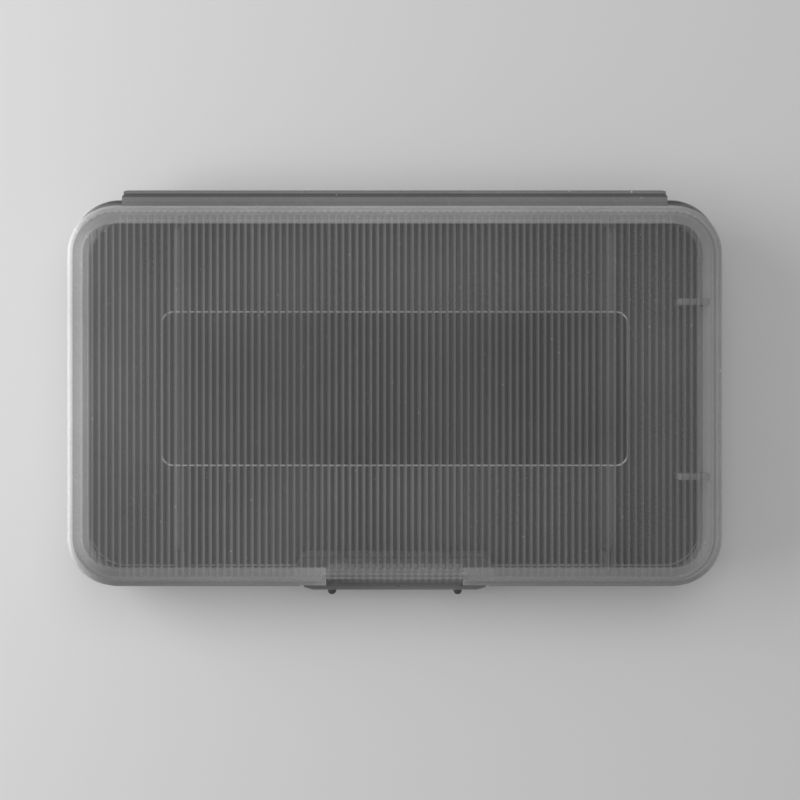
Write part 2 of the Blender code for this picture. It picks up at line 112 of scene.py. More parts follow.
def add_object(name, data):
    """New object in the scene for a mesh, a lamp or a camera."""
    thing = bpy.data.objects.new(name, data)
    bpy.context.scene.collection.objects.link(thing)
    return thing


def make_piece(name, points, faces, milk, zones=None):
    """Mesh from points in millimetres. Faces are lists of point numbers.

    milk is how pale the plastic looks, painted light included: a number, one for each
    point, or a function of x, y and z. zones gives each face the number of its finish, from 0.

    The signed volume, one sixth of the sum of a . (b x c) over all triangles, is positive
    when the faces point outwards, so a negative one turns every face round.
    """
    mesh = bpy.data.meshes.new(name)
    mesh.from_pydata((np.asarray(points) * MILLIMETRE).tolist(), [], faces)
    mesh.calc_loop_triangles()
    corners = np.empty(len(mesh.loop_triangles) * 3, np.int32)
    mesh.loop_triangles.foreach_get("vertices", corners)
    a, b, c = np.asarray(points)[corners.reshape(-1, 3)].transpose(1, 0, 2)
    volume = np.einsum("ij,ij->i", a, np.cross(b, c)).sum() / 6
    if volume < 0:
        mesh.flip_normals()
    if zones is not None:
        mesh.polygons.foreach_set("material_index", np.asarray(zones, np.int32))
    milk = milk(*np.asarray(points).T) if callable(milk) else milk
    mesh.attributes.new("milk", "FLOAT", "POINT").data.foreach_set(
        "value", np.array(np.broadcast_to(milk, len(points)), np.float32))
    mesh.shade_smooth()
    mesh.set_sharp_from_angle(angle=SMOOTH_UP_TO)
    print(f"{name}: {len(corners) // 3} triangles, {abs(volume) / 1000:.2f} cm3")
    return add_object(name, mesh)


# %% [markdown]
# ## The ribs
#
# Both the ceiling of the lid and the floor of the tray carry fine half-round ribs. They
# stiffen a thin sheet, and they give the case its striped look. A height function of X is
# all they need. We sample it only where it bends, so a rib costs seven columns of points.
# Each rib ends in a small round nose, which a second function of the distance to the wall
# gives.

# %% Rib height and where to sample it
RIB_SAMPLES = (-1.0, -0.86, -0.45, 0.0, 0.45, 0.86, 1.0)
STEP_WIDTH = 0.02
STEP_SIDES = np.array([-0.5, 0.5]) * STEP_WIDTH
CORNER_TURNS = np.radians(np.arange(0, 91, 5))


def rib_height(x):
    """Half ellipse over each rib: height times the root of 1 - u squared.

    u is the distance from the middle of the nearest rib, as a share of its half width.
    """
    u = ((x / RIB_PITCH) % 1.0 - 0.5) * RIB_PITCH / RIB_HALF
    inside = np.abs(x) < RIB_PITCH * RIB_COUNT / 2
    return RIB_HEIGHT * np.sqrt(np.clip(1 - u * u, 0, 1)) * inside


def rib_nose(from_end, length):
    """Rises from 0 to 1 over a length like a quarter circle."""
    away = 1 - np.clip(from_end / length, 0, 1)
    return np.sqrt(1 - away * away)


def columns(edge_inset, steps_at):
    """X of every column of points between the two ends of a ribbed face.

    Ribs give seven columns each, the round corners get more near their ends, where the
    outline turns fastest, and each step in the front edge gets two columns close together.
    """
    middles = (np.arange(RIB_COUNT) + 0.5 - RIB_COUNT / 2) * RIB_PITCH
    ribs = (middles[:, None] + np.array(RIB_SAMPLES) * RIB_HALF).ravel()
    corner = STRAIGHT_X + (CORNER - edge_inset) * np.cos(CORNER_TURNS)
    steps = (np.array(steps_at)[:, None] + STEP_SIDES).ravel()
    both = np.unique(np.round(np.concatenate([ribs, corner, -corner, steps, -steps]), 4))
    return both[np.concatenate([[True], np.diff(both) > STEP_WIDTH / 3])]


print("rib height over one pitch:", rib_height(np.linspace(0, RIB_PITCH, 5)).round(2))

# %% [markdown]
# ## Shells as rings
#
# A moulded tray is a closed skin. You can follow it from the ribbed inner face, over the
# edge of the wall, down the outside and across the flat outer face. So each shell is a
# stack of closed rings with a grid at either end. Every ring has the same points: a place
# on the straight frame inside the corners, and a direction outwards. Moving the ring in or
# out only changes how far it goes in that direction, which keeps the corners round.

# %% Plan of a shell
LONGEST_ROW, FACES_FRONT = 0.45, -0.999


class Plan:
    """Rings of equal count around the case, and the grid that closes them.

    Points run along the rear edge, down the right end, back along the front edge and up
    the left end. A point at inset d is base + (corner radius - d) * outward.
    """

    def __init__(self, x, edge_inset, rear_rows, front_rows):
        radius = CORNER - edge_inset
        share = np.clip((np.abs(x) - STRAIGHT_X) / radius, 0, 1) * np.sign(x)
        rear_base = np.column_stack([np.clip(x, -STRAIGHT_X, STRAIGHT_X),
                                     np.full_like(x, STRAIGHT_Y)])
        rear_out = np.column_stack([share, np.sqrt(1 - share**2)])
        self.rear_rows, self.front_rows = np.array(rear_rows), np.array(front_rows)[::-1]
        side_y = np.concatenate([STRAIGHT_Y - self.rear_rows,
                                 self.front_rows - STRAIGHT_Y])[1:-1]
        side_base = np.column_stack([np.full_like(side_y, STRAIGHT_X), side_y])
        side_out = np.column_stack([np.ones_like(side_y), np.zeros_like(side_y)])
        mirror = np.array([1, -1])
        self.base = np.concatenate([rear_base, side_base, (rear_base * mirror)[::-1],
                                    (side_base * -mirror)[::-1]])
        self.outward = np.concatenate([rear_out, side_out, (rear_out * mirror)[::-1],
                                       -side_out])
        self.width, self.rows = len(x), len(side_y) + 2
        self.x = self.base[:, X] + radius * self.outward[:, X]
        self.front = (self.base[:, Y] < 0) & (self.outward[:, Y] < FACES_FRONT)
        self.cells = np.arange(self.width * self.rows).reshape(self.rows, self.width)
        self.edge = np.concatenate([self.cells[0], self.cells[1:-1, -1],
                                    self.cells[-1, ::-1], self.cells[-2:0:-1, 0]])

    def ring(self, inset, height, rear_shift=0.0):
        """One ring: base + (corner radius - inset) * outward, at a height.

        rear_shift pushes the rear edge and its corners to the back.
        """
        reach = CORNER - np.broadcast_to(inset, self.x.shape)
        plan = self.base + reach[:, None] * self.outward
        plan[:, Y] += rear_shift * np.clip(self.base[:, Y] / STRAIGHT_Y, 0, 1)
        return np.column_stack([plan, np.broadcast_to(height, self.x.shape)])

    def grid(self, ring):
        """X, Y and distance to the nearer edge, for rows of points across a ring.

        Row distances are those of the plan, measured from the rear edge for the first
        rows and from the front edge for the others, and never reach the middle.
        """
        rear = ring[:self.width]
        front_start = self.width + self.rows - 2
        front = ring[front_start:front_start + self.width][::-1]
        length = rear[:, Y] - front[:, Y]
        near = np.concatenate([
            np.minimum(self.rear_rows[:, None], LONGEST_ROW * length),
            length - np.minimum(self.front_rows[:, None], LONGEST_ROW * length)])
        x, y = np.broadcast_arrays(rear[:, X], rear[:, Y] - near)
        return x.ravel(), y.ravel(), np.minimum(near, length - near).ravel()

    def flat(self, ring, height):
        """The rows of points across a ring, all at one height."""
        x, y, _ = self.grid(ring)
        return np.column_stack([x, y, np.full_like(x, height)])

    def front_within(self, half):
        """The points on the front edge up to half a length from its middle."""
        return self.front & (np.abs(self.x) < half)

    def by_side(self, left, right, rear, front):
        """A number around the plan: squares of the outward direction weigh the sides."""
        to_x, to_y = self.outward.T
        return (to_x**2 * np.where(to_x < 0, left, right)
                + to_y**2 * np.where(to_y < 0, front, rear))


print("a ring at inset d is the base line pushed out by", CORNER, "mm less d")

# %% [markdown]
# The skin itself: first grid, rings, last grid. Two neighbouring rings are joined by one
# row of four-sided faces, and each grid is joined to its ring by sharing its edge points.
# A shell collects its rings one after the other, each with its paleness and with the
# finish of the strip of faces that leads up to it.

# %% Join grids and rings into one closed skin
SHEET_ZONE, WALL_ZONE, LABEL_ZONE, BAND_ZONE, RIB_ZONE = range(5)


def strips_between(loops):
    """Four-sided faces between every two neighbouring loops of point numbers."""
    after = np.roll(loops, -1, axis=1)
    return np.stack([loops[:-1], loops[1:], after[1:], after[:-1]], axis=-1).reshape(-1, 4)


class Shell:
    """Rings of a plan with their milk and painted light, and the finish of the strip before each
    ring.
    """

    def __init__(self, plan):
        self.plan, self.rings, self.milk, self.zones = plan, [], [], []

    def add(self, inset, height, milk, zone=WALL_ZONE, rear_shift=0.0):
        """Add the ring at an inset and a height."""
        self.add_ring(self.plan.ring(inset, height, rear_shift), milk, zone)

    def follow(self, turn, shift, milk, rear_shift=0.0):
        """Add a ring for each point of a turn, with shift added to its inset."""
        for inset, height in turn:
            self.add(inset + shift, height, milk, rear_shift=rear_shift)

    def add_ring(self, ring, milk, zone):
        """Add a ring that is already worked out."""
        self.rings.append(ring)
        self.milk.append(np.broadcast_to(milk, self.plan.x.shape))
        self.zones.append(zone)

    def skin(self, first_grid, first_zones, last_grid, last_zone, grid_milks):
        """Points, faces, milk and zones of the closed skin."""
        plan, count = self.plan, len(self.plan.edge)
        points = np.concatenate([first_grid, *self.rings, last_grid])
        last_start = len(first_grid) + len(self.rings) * count
        rings = np.arange(len(first_grid), last_start).reshape(-1, count)
        loops = np.concatenate([[plan.edge], rings, [last_start + plan.edge]])
        c = plan.cells
        quads = np.stack([c[:-1, :-1], c[:-1, 1:], c[1:, 1:], c[1:, :-1]], axis=-1)
        quads = quads.reshape(-1, 4)
        faces = np.concatenate([quads, strips_between(loops), quads[:, ::-1] + last_start])
        zones = np.concatenate([np.broadcast_to(first_zones, len(quads)),
                                np.repeat([*self.zones, last_zone], count),
                                np.full(len(quads), last_zone)])
        milk = np.concatenate([grid_milks[0], *self.milk,
                               np.broadcast_to(grid_milks[1], len(last_grid))])
        return points, faces.tolist(), milk, zones


def turn_edge(inset, height, radius, start, end, steps):
    """Points of a rounded edge in (inset, height): centre + radius * (cos, sin).

    Angles are in degrees. Zero points inwards, away from the outline, and 90 points up.
    """
    angle = np.radians(np.linspace(start, end, steps + 1))
    return list(zip(inset + radius * np.cos(angle), height + radius * np.sin(angle)))


print("rounded top edge:", np.round(turn_edge(1.9, CEILING, SHEET, 180, 90, 2), 2).tolist())

# %% [markdown]
# ## The lid
#
# The lid is a shallow dish turned upside down. Its wall has a small bead at the foot, its
# ceiling is ribbed, and a rounded rectangle for a label is sunk a quarter millimetre into
# the top. At the front, a window is cut into the wall, so that the latch flap can reach a
# shelf there. All of that is one profile carried around the plan. Near the middle of the
# front edge the profile simply steps back.

# %% Plan of the lid
LABEL_X, LABEL_Y, LABEL_RADIUS, LABEL_SHIFT, LABEL_SINK = 56.2, 18.5, 2.7, 1.7, 0.25
LID_INSET = 2.3
WINDOW_BACK, WINDOW_FRAME, BEAD = 1.6, 1.0, 0.3
BAND_FROM = 2.7
GRID_EDGE = HALF_DEPTH - LID_INSET
WALL_ROWS = (0.0, 0.15, 0.4, 0.7, BAND_FROM - 0.1, BAND_FROM + 0.1)
LABEL_ROWS = STEP_SIDES + GRID_EDGE - LABEL_Y
lid_plan = Plan(columns(LID_INSET, [WINDOW, WINDOW + WINDOW_FRAME, RECESS, LABEL_X]), LID_INSET,
                [*WALL_ROWS, *(LABEL_ROWS - LABEL_SHIFT)],
                [*WALL_ROWS, *(LABEL_ROWS + LABEL_SHIFT)])
across = np.abs(lid_plan.x)
in_window = lid_plan.front_within(WINDOW)
behind_window = lid_plan.front_within(WINDOW + WINDOW_FRAME)
no_bead = lid_plan.front_within(RECESS)
window_back = WINDOW_BACK * behind_window
on_right = lid_plan.x > 0
over_rib = rib_height(lid_plan.x) / RIB_HEIGHT
print("a ring of the lid has", len(lid_plan.x), "points,", in_window.sum(), "in the window")

# %% [markdown]
# ## How pale the lid is, with its painted light
#
# The case is lit from the left, and light that enters a thick edge spreads inside it. The
# walls and the rim are the palest parts, because they are thick and because that light is
# painted into their milk, and the left ones most of all. Each part of the profile gets four
# numbers, for its left, right, rear and front side, which paint how the light falls on each
# side. A painted glow also spreads from the lit ends into the sheet. Beside the window the cut
# edge gets a painted glow, and in it the ribs run on as faint stripes.

# %% Paleness and painted light of the lid
SHEET_MILK = 0.14
END_GLOW_LEFT, END_GLOW_RIGHT = (0.12, 50), (0.05, 30)
WINDOW_GLOW_LEFT, WINDOW_GLOW_RIGHT = (0.24, 5.5), (0.06, 2)
LID_MILK_AND_SIDE_LIGHT = {
    "wall": (0.30, 0.40, 0.35, 0.28),
    "edge": (0.62, 0.33, 0.34, np.where(on_right, 0.22, 0.21)),
    "band": (0.71, 0.40, 0.47, np.where(on_right, 0.38, 0.35)),
    "shoulder": (0.455, 0.33, 0.46, 0.35),
    "foot": (0.27, 0.33, 0.14, 0.20),
    "painted_dash": (0.0, 0.0, 0.38, 0.12),
}


def falls_off(distance, share, reach):
    """Painted light that spreads through the plastic: share * exp(-distance / reach)."""
    return share * np.exp(-distance / reach)


def painted_end_glow(x):
    """Painted glow that reaches a sheet from the lit walls at its left and right end."""
    return falls_off(x + HALF_LENGTH, *END_GLOW_LEFT) + falls_off(HALF_LENGTH - x, *END_GLOW_RIGHT)


def striped(between_ribs, more_over_ribs):
    """Paleness with a stripe over each rib."""
    return between_ribs + more_over_ribs * over_rib


# A painted glow on the cut edge beside the window, falling off away from it, stronger on the left.
from_window = np.where(lid_plan.front & (across > WINDOW), across - WINDOW, np.inf)
painted_window_glow = np.where(on_right, falls_off(from_window, *WINDOW_GLOW_RIGHT),
                       falls_off(from_window, *WINDOW_GLOW_LEFT))
# Each part's four side numbers paint how the light falls on that side of the lid.
wall_milk, edge_milk, band_milk, shoulder_milk, foot_milk, dash_milk = (
    lid_plan.by_side(*sides) for sides in LID_MILK_AND_SIDE_LIGHT.values())
wall_milk = np.where(behind_window, striped(0.33, 0.12), wall_milk)
edge_milk, band_milk = edge_milk + painted_window_glow / 2, band_milk + painted_window_glow
# The sheet gets a painted glow near the lit ends.
sheet_milk = SHEET_MILK + painted_end_glow(lid_plan.x)
print("the band is", band_milk.max().round(2), "at its palest, the sheet",
      sheet_milk.min().round(2), "at its clearest")

# %% [markdown]
# ## Rings of the lid
#
# The rings go from the ceiling's edge down the inside, around the foot, up over the bead
# and the outside, and in across the top. There the pale band over the wall gives way to
# the clear sheet in three steps. Two rings close together make each step sharp. The rear
# and front fillets carry a painted highlight, a pale dash between every two ribs, and the
# rounded top edge gets a painted highlight along its middle.

# %% Rings of the lid, from the ceiling to the sheet
LID_FILLET, DASHED_RINGS, SHARP = 0.6, 2, 0.05
WALL_INSET, EDGE_RADIUS, BEAD_TURN = 1.35, 0.15, 0.85
TOP_TURN_INSET, CUT_INSET, CUT_RADIUS = 1.9, 2.65, 0.3
EDGE_HIGHLIGHT_GAINS = (1.0, 1.0, 1.25, 1.25, 1.1, 1.0, 1.0)
SHELF_TIP_MILK, cut_milk = 0.14, striped(0.19, 0.09)
STEP_ENDS = {"band": (4.6, 5.6, 5.05, 5.2), "shoulder": (6.0, 5.75, 5.2, 5.35),
             "foot": (7.0, 7.05, 5.35, 6.1)}
lid_shell = Shell(lid_plan)


def lid_ring(elsewhere, window, zone=WALL_ZONE):
    """Add a ring whose inset, height and milk in the window differ from those elsewhere."""
    both = zip(window, elsewhere)
    lid_shell.add(*(np.where(in_window, own, other) for own, other in both), zone)


for step, (inset, height) in enumerate(
        turn_edge(LID_INSET, CEILING - LID_FILLET, LID_FILLET, 90, 180, 4)[1:]):
    # A painted highlight: a pale dash between every two ribs on the first rings of the rear and
    # front fillets.
    painted_dash = dash_milk * (1 - over_rib) * (step < DASHED_RINGS) * ~behind_window
    lid_shell.add(inset + window_back, height, wall_milk + painted_dash)
lid_shell.follow(turn_edge(WALL_INSET, LID_FOOT + EDGE_RADIUS, EDGE_RADIUS, 0, -90, 2),
                 window_back, wall_milk)
lid_shell.follow(turn_edge(EDGE_RADIUS, LID_FOOT + EDGE_RADIUS, EDGE_RADIUS, -90, -180, 2)
                 + turn_edge(EDGE_RADIUS, LID_FOOT + BEAD_TURN, EDGE_RADIUS, 180, 90, 2),
                 BEAD * no_bead, np.where(in_window, SHELF_TIP_MILK, edge_milk))
for inset, cut_inset, rise, milk, window_milk in (
        (0.48, 2.27, 1.00, edge_milk, striped(0.34, 0.16)),
        (0.54, 2.35, 1.15, wall_milk, wall_milk)):
    lid_ring((inset, LID_FOOT + rise, milk), (cut_inset, LID_FOOT + rise, window_milk))
outer_turns = turn_edge(TOP_TURN_INSET, CEILING, SHEET, 180, 90, 6)
cut_turns = turn_edge(CUT_INSET, TOP - CUT_RADIUS, CUT_RADIUS, 180, 90, 6)
# The gains paint a highlight along the middle of the rounded top edge.
for outer_turn, cut_turn, highlight_gain in zip(outer_turns, cut_turns, EDGE_HIGHLIGHT_GAINS):
    lid_ring((*outer_turn, edge_milk * highlight_gain), (*cut_turn, cut_milk))
for inset, cut_inset, milk, window_milk, zone in (
        (2.10, 2.85, edge_milk, cut_milk, WALL_ZONE),
        (2.13, 2.88, band_milk, striped(0.22, 0.10), WALL_ZONE),
        (2.40, 3.30, band_milk, striped(0.32, 0.13), BAND_ZONE),
        (2.60, 3.80, band_milk, striped(0.20, 0.10), BAND_ZONE)):
    lid_ring((inset, TOP, milk), (cut_inset, TOP, window_milk), zone)
steps = (np.where(in_window, striped(0.18, 0.10), band_milk),
         *(np.where(in_window, sheet_milk, milk) for milk in (shoulder_milk, foot_milk)),
         sheet_milk)
for ends, milk, next_milk, zone in zip(STEP_ENDS.values(), steps, steps[1:],
                                       (BAND_ZONE, SHEET_ZONE, SHEET_ZONE)):
    step_end = lid_plan.by_side(*ends)
    lid_shell.add(step_end - SHARP, TOP, milk, zone)
    lid_shell.add(step_end, TOP, next_milk, SHEET_ZONE)
print("lid profile has", len(lid_shell.rings), "rings so far")

# %% [markdown]
# ## The label field
#
# The label field has its own outline, a smaller rounded rectangle. Its points keep their X
# as far as its straight edges go, so they stay in line with the ribs, and the others turn
# its corners. On the real case the little step catches the light as a bright line wherever
# the sheet behind it is thin, and it fades over every rib and along the two ends. Here that
# line is a painted highlight on the step: palest between the ribs and round the corners, and
# fainter along both ends, the right one most. The field itself is slightly matt, which hides
# the ribs of the floor a little more.

# %% Label field of the lid
# The second number is the paleness of the painted highlight on the label's step.
LABEL_MILK, STEP_HIGHLIGHT = 0.05, 0.62
ARC_GAIN, LEFT_LOSS, RIGHT_LOSS, RIB_POWER = 0.5, 0.6, 0.92, 6
STEP_PROFILE = ((0.30, 0.0), (0.18, 0.0), (0.08, -0.02), (-0.03, -0.12), (-0.10, -LABEL_SINK),
                (-0.20, -LABEL_SINK))
straight_x, straight_y = LABEL_X - LABEL_RADIUS, LABEL_Y - LABEL_RADIUS
beyond = np.clip(across - straight_x, 0, None)
label_turn = beyond / beyond.max() * math.pi / 2


def label_ring(grow, height):
    """The plan's points on the label outline, moved outwards by grow.

    A point is base + (corner radius + grow) * (sin, cos) of its turn.
    """
    base_x, base_y = lid_plan.x, lid_plan.base[:, Y] * straight_y / STRAIGHT_Y
    x = np.clip(base_x, -straight_x, straight_x) + (
        LABEL_RADIUS + grow) * np.sin(label_turn) * np.sign(base_x)
    y = base_y + LABEL_SHIFT + (LABEL_RADIUS + grow) * np.cos(label_turn) * np.sign(base_y)
    return np.column_stack([x, y, np.full_like(x, height)])


label_x = label_ring(0, TOP)[:, X]
# The label's sheet and field get the same painted glow near the lit ends.
label_sheet_and_glow = SHEET_MILK + painted_end_glow(label_x)
on_side, on_edge = np.sin(label_turn) ** 4, np.cos(label_turn) ** 2
on_arc = np.sin(2 * label_turn) ** 2
# How much of the painted highlight on the step shows at each point.
highlight_shows = ((1 + ARC_GAIN * on_arc - on_side * np.where(on_right, RIGHT_LOSS, LEFT_LOSS))
              * (1 - on_edge * (rib_height(label_x) / RIB_HEIGHT) ** RIB_POWER))
step_milk = label_sheet_and_glow + (STEP_HIGHLIGHT - SHEET_MILK) * highlight_shows
step_milks = (label_sheet_and_glow, *(step_milk,) * 4, LABEL_MILK + painted_end_glow(label_x))
step_zones = (SHEET_ZONE, SHEET_ZONE, BAND_ZONE, BAND_ZONE, BAND_ZONE, LABEL_ZONE)
for (grow, drop), milk, zone in zip(STEP_PROFILE, step_milks, step_zones):
    lid_shell.add_ring(label_ring(grow, TOP + drop), milk, zone)
print("label field", 2 * LABEL_X, "x", 2 * LABEL_Y, "mm, sunk", LABEL_SINK, "mm")

# %% [markdown]
# ## The ribbed ceiling
#
# The ceiling grid carries the ribs. Its height is the sheet's lower face less the rib, and
# its paleness follows the height, because a rib is thicker than the sheet around it. Over
# the pale walls and near the lit ends the ribs hardly show, so there they are fainter, and
# in the round corners of the band there are none to see.

# %% Height and paleness of the ceiling
RIB_MILK, LABEL_RIB_MILK, VALLEY_MILK = 0.195, 0.26, 0.058
NEAR_REAR, NEAR_FRONT, NEAR_WINDOW = 0.75, 0.45, 1.1
FADE_PLACE, FADE_WIDTH, FADE_LEFT, FADE_RIGHT = 26, 3, 0.42, 0.22
LID_NOSE, NOSE_LENGTH, RIB_FULLNESS, PLAIN_CORNER = 0.6, 0.7, 0.75, 5.4


def rib_shows(x):
    """Share of a rib's paleness that is left near the side walls, where light spreads in.

    1 less a share that falls off over a distance like 1 / (1 + exp(distance)).
    """
    from_left, from_right = x + HALF_LENGTH, HALF_LENGTH - x
    return (1 - FADE_LEFT / (1 + np.exp((from_left - FADE_PLACE) / FADE_WIDTH))
            - FADE_RIGHT / (1 + np.exp((from_right - FADE_PLACE) / FADE_WIDTH)))


def under_label(x, y):
    """Where the ceiling lies below the label field."""
    return (np.abs(x) < LABEL_X) & (np.abs(y - LABEL_SHIFT) < LABEL_Y)


def ribs_seen(x, y, to_wall):
    """Where ribs can be seen: not over the wall in the four round corners of the band.

    Beyond the straight edges the distance from the corner's centre counts.
    """
    over_x = np.clip(np.abs(x) - STRAIGHT_X, 0, None)
    over_y = np.clip(np.abs(y) - STRAIGHT_Y, 0, None)
    clear = (over_x * over_y == 0) | (np.hypot(over_x, over_y) < CORNER - PLAIN_CORNER)
    return clear | (to_wall > BAND_FROM)


ceiling_x, ceiling_y, to_wall = lid_plan.grid(lid_plan.ring(LID_INSET + window_back, CEILING))
ceiling_z = CEILING - rib_height(ceiling_x) * rib_nose(to_wall, LID_NOSE)
rib_share = ((CEILING - ceiling_z) / RIB_HEIGHT) ** RIB_FULLNESS
near_wall = np.select([ceiling_y > 0, np.abs(ceiling_x) < WINDOW], [NEAR_REAR, NEAR_WINDOW],
                      NEAR_FRONT)
fade = (np.where(to_wall < BAND_FROM, near_wall, 1.0)
        * ribs_seen(ceiling_x, ceiling_y, to_wall))
rib_milk = np.where(under_label(ceiling_x, ceiling_y), LABEL_RIB_MILK, RIB_MILK)
# The ceiling gets the painted glow near the lit ends as well.
ceiling_milk = (VALLEY_MILK + painted_end_glow(ceiling_x)
                + (rib_milk - VALLEY_MILK) * rib_share * fade * rib_shows(ceiling_x))
print("ceiling:", len(ceiling_z), "points, milk", ceiling_milk.min().round(2), "to",
      ceiling_milk.max().round(2))

# %% [markdown]
# ## Closing the lid
#
# Each face of the ceiling takes its finish from its middle: a rib, the matt label field, or
# the plain sheet. The noses of the ribs count as sheet, so they don't end in a dark arc.
# With its zones the ceiling closes the skin from below, and the label's floor from above.

# %% Build the lid
first, last = lid_plan.cells[:-1, :-1], lid_plan.cells[1:, 1:]
middle_x, middle_y, middle_wall = ((value[first] + value[last]) / 2
                                   for value in (ceiling_x, ceiling_y, to_wall))
ceiling_zones = np.select([(rib_height(middle_x) > 0) & (middle_wall > NOSE_LENGTH)
                           & ribs_seen(middle_x, middle_y, middle_wall),
                           under_label(middle_x, middle_y)],
                          [RIB_ZONE, LABEL_ZONE], SHEET_ZONE).ravel()
# The label's floor also carries the painted glow near the lit ends.
label_floor = lid_plan.flat(label_ring(STEP_PROFILE[-1][0], 0), TOP - LABEL_SINK)
lid = make_piece("lid_moulding", *lid_shell.skin(
    np.column_stack([ceiling_x, ceiling_y, ceiling_z]), ceiling_zones, label_floor, LABEL_ZONE,
    (ceiling_milk, LABEL_MILK + painted_end_glow(label_floor[:, X]))))

# %% [markdown]
# ## The tray
#
# The tray works the same way, from the ribbed floor up the inside, over the thin lip that
# reaches into the lid, around the rim and down the outside. At the back the rim reaches
# out under the hinge, and it peeks out behind the round corners of the lid. The latch
# needs a pocket in the front wall, so the wall steps back there by 4.3 mm with rounded
# corners, and a short shelf juts out in the pocket for the flap to catch on.

# %% Plan of the tray
CATCH, POCKET_DEPTH, POCKET_RADIUS, POCKET_SKIN = 16.2, 4.3, 1.5, 1.2
LINE_FROM, RIB_END, LINE_TO = 0.5, 0.9, 1.03
TRAY_INSET = 3.25
tray_rows = (0.0, *(place + side for place in (LINE_FROM, RIB_END, LINE_TO)
                    for side in 2 * STEP_SIDES), 1.15, 1.35, 8.0)
tray_plan = Plan(columns(TRAY_INSET, [CATCH, WINDOW, WINDOW + POCKET_SKIN, RECESS,
                                      RECESS + POCKET_SKIN]),
                 TRAY_INSET, tray_rows, tray_rows)


def setback(depth, half, radius):
    """How far the front wall steps back over X, with a round inner corner.

    Full depth inside half - radius, then a quarter circle of that radius up to half.
    """
    over = np.clip(np.abs(tray_plan.x) - (half - radius), 0, radius)
    back = depth - radius + np.sqrt(radius**2 - over**2)
    return np.where(tray_plan.front_within(half), back, 0)


pocket = setback(POCKET_DEPTH, RECESS, POCKET_RADIUS)
inner_pocket = setback(POCKET_DEPTH + 0.05, RECESS + POCKET_SKIN, POCKET_RADIUS + POCKET_SKIN)
in_pocket = inner_pocket > 0
in_notch = tray_plan.front_within(WINDOW)
no_lip = tray_plan.front_within(WINDOW + POCKET_SKIN)
on_catch = tray_plan.front_within(CATCH)
print("pocket", 2 * RECESS, "mm long and", pocket.max(), "mm deep")

# %% [markdown]
# Now the rings, from the floor to the foot. The wall's inner face is the palest, because
# light that enters from outside leaves it there, and that glow is painted into its milk. The
# rim behind the lid's corners is dark on top with a bright edge, as a thin sheet is. Each part
# has its four sides again, which paint how the light falls, the left ones palest, and a
# fifth number for the pocket or for the notch that the window leaves open. The upper part of
# the fillet carries a painted highlight line, and in the pocket the foot of the wall is
# painted pale, a glow in its shade.

# %% Inside, lip and rim of the tray
TRAY_FILLET, RIM_REACH, NARROWING, NOTCH_SHIFT = 0.8, 1.8, 0.97, 2.2
PLATE_STEP, NOTCH_STEP, NOTCH_INSET, NOTCH_STRIDE = 4.3, 5.4, 3.0, 0.04
RIM_INSET, RIM_RADIUS, RIM_THICK = 0.42, 0.12, 1.0
INNER_WALL = ((2.44, FLOOR + 1.3, 1, "wall foot"), (2.30, RIM_TOP - 0.07, 1, "wall"),
              (2.28, RIM_TOP, NARROWING, "wall"))
POCKET_LIMIT, LIP_FOOT = 2.27, 2.265
LIP = ((2.25, 0.05), (2.25, 1.45), (2.15, 1.55), (1.80, 1.55), (1.70, 1.45), (1.70, 0.05),
       (1.66, 0.0))
RIM_FLAT = ((0.9, 0.7), (0.55, 0.9))
TRAY_MILK_AND_SIDE_LIGHT = {
    "fillet": ((0.75, 0.55, 0.35, 0.30), in_pocket, 0.30),
    "line": ((0.9, 0.6, 0.9, 0.5), in_pocket, 0.40),
    "wall foot": ((0.9, 0.65, 0.35, 0.30), in_pocket, 0.70),
    "wall": ((0.9, 0.65, 0.35, 0.30), in_pocket, 0.20),
    "rim": ((0.8, 0.5, 0.5, 0.4), in_notch, 0.54),
    "rim top": ((0.6, 0.45, 0.05, 0.4), in_notch, 0.40),
}
# The four side numbers of each part paint how the light falls on that side, the left one palest.
tray_milks = {part: np.where(where, milk, tray_plan.by_side(*sides))
              for part, (sides, where, milk) in TRAY_MILK_AND_SIDE_LIGHT.items()}
tray_shell = Shell(tray_plan)
for step, (inset, height) in enumerate(
        turn_edge(TRAY_INSET, FLOOR + TRAY_FILLET, TRAY_FILLET, -90, -180, 4)[1:]):
    tray_shell.add(inset + inner_pocket, height, tray_milks["line" if step > 1 else "fillet"])
for inset, height, share, part in INNER_WALL:
    tray_shell.add(inset + share * inner_pocket, height, tray_milks[part])
plate_step = np.where(in_notch, NOTCH_STEP, PLATE_STEP)
for side, part in ((SHARP, "wall"), (-SHARP, "rim")):
    inset = np.minimum(plate_step + side, POCKET_LIMIT + NARROWING * inner_pocket)
    tray_shell.add(np.where(in_pocket, inset, LIP_FOOT + side / 10), RIM_TOP, tray_milks[part])
for step, (inset, rise) in enumerate(LIP):
    tray_shell.add(np.where(no_lip, NOTCH_INSET - NOTCH_STRIDE * step, inset),
                   RIM_TOP + np.where(no_lip, 0.0, rise), tray_milks["rim"])
notch_shift = np.where(in_notch, NOTCH_SHIFT, 0.0)
for inset, share in RIM_FLAT:
    tray_shell.add(inset + share * notch_shift, RIM_TOP, tray_milks["rim top"],
                   rear_shift=RIM_REACH)
rim_high, rim_low = RIM_TOP - RIM_RADIUS, RIM_TOP - RIM_THICK + RIM_RADIUS
# The outer turn of the rim is paler on the left: painted light from the lamp there.
tray_shell.follow(turn_edge(RIM_INSET, rim_high, RIM_RADIUS, 90, 180, 2)
                  + turn_edge(RIM_INSET, rim_low, RIM_RADIUS, 180, 270, 2),
                  notch_shift, tray_plan.by_side(0.6, 0.5, 0.5, 0.4), RIM_REACH)
print("the tray has", len(tray_shell.rings), "rings up to its rim")

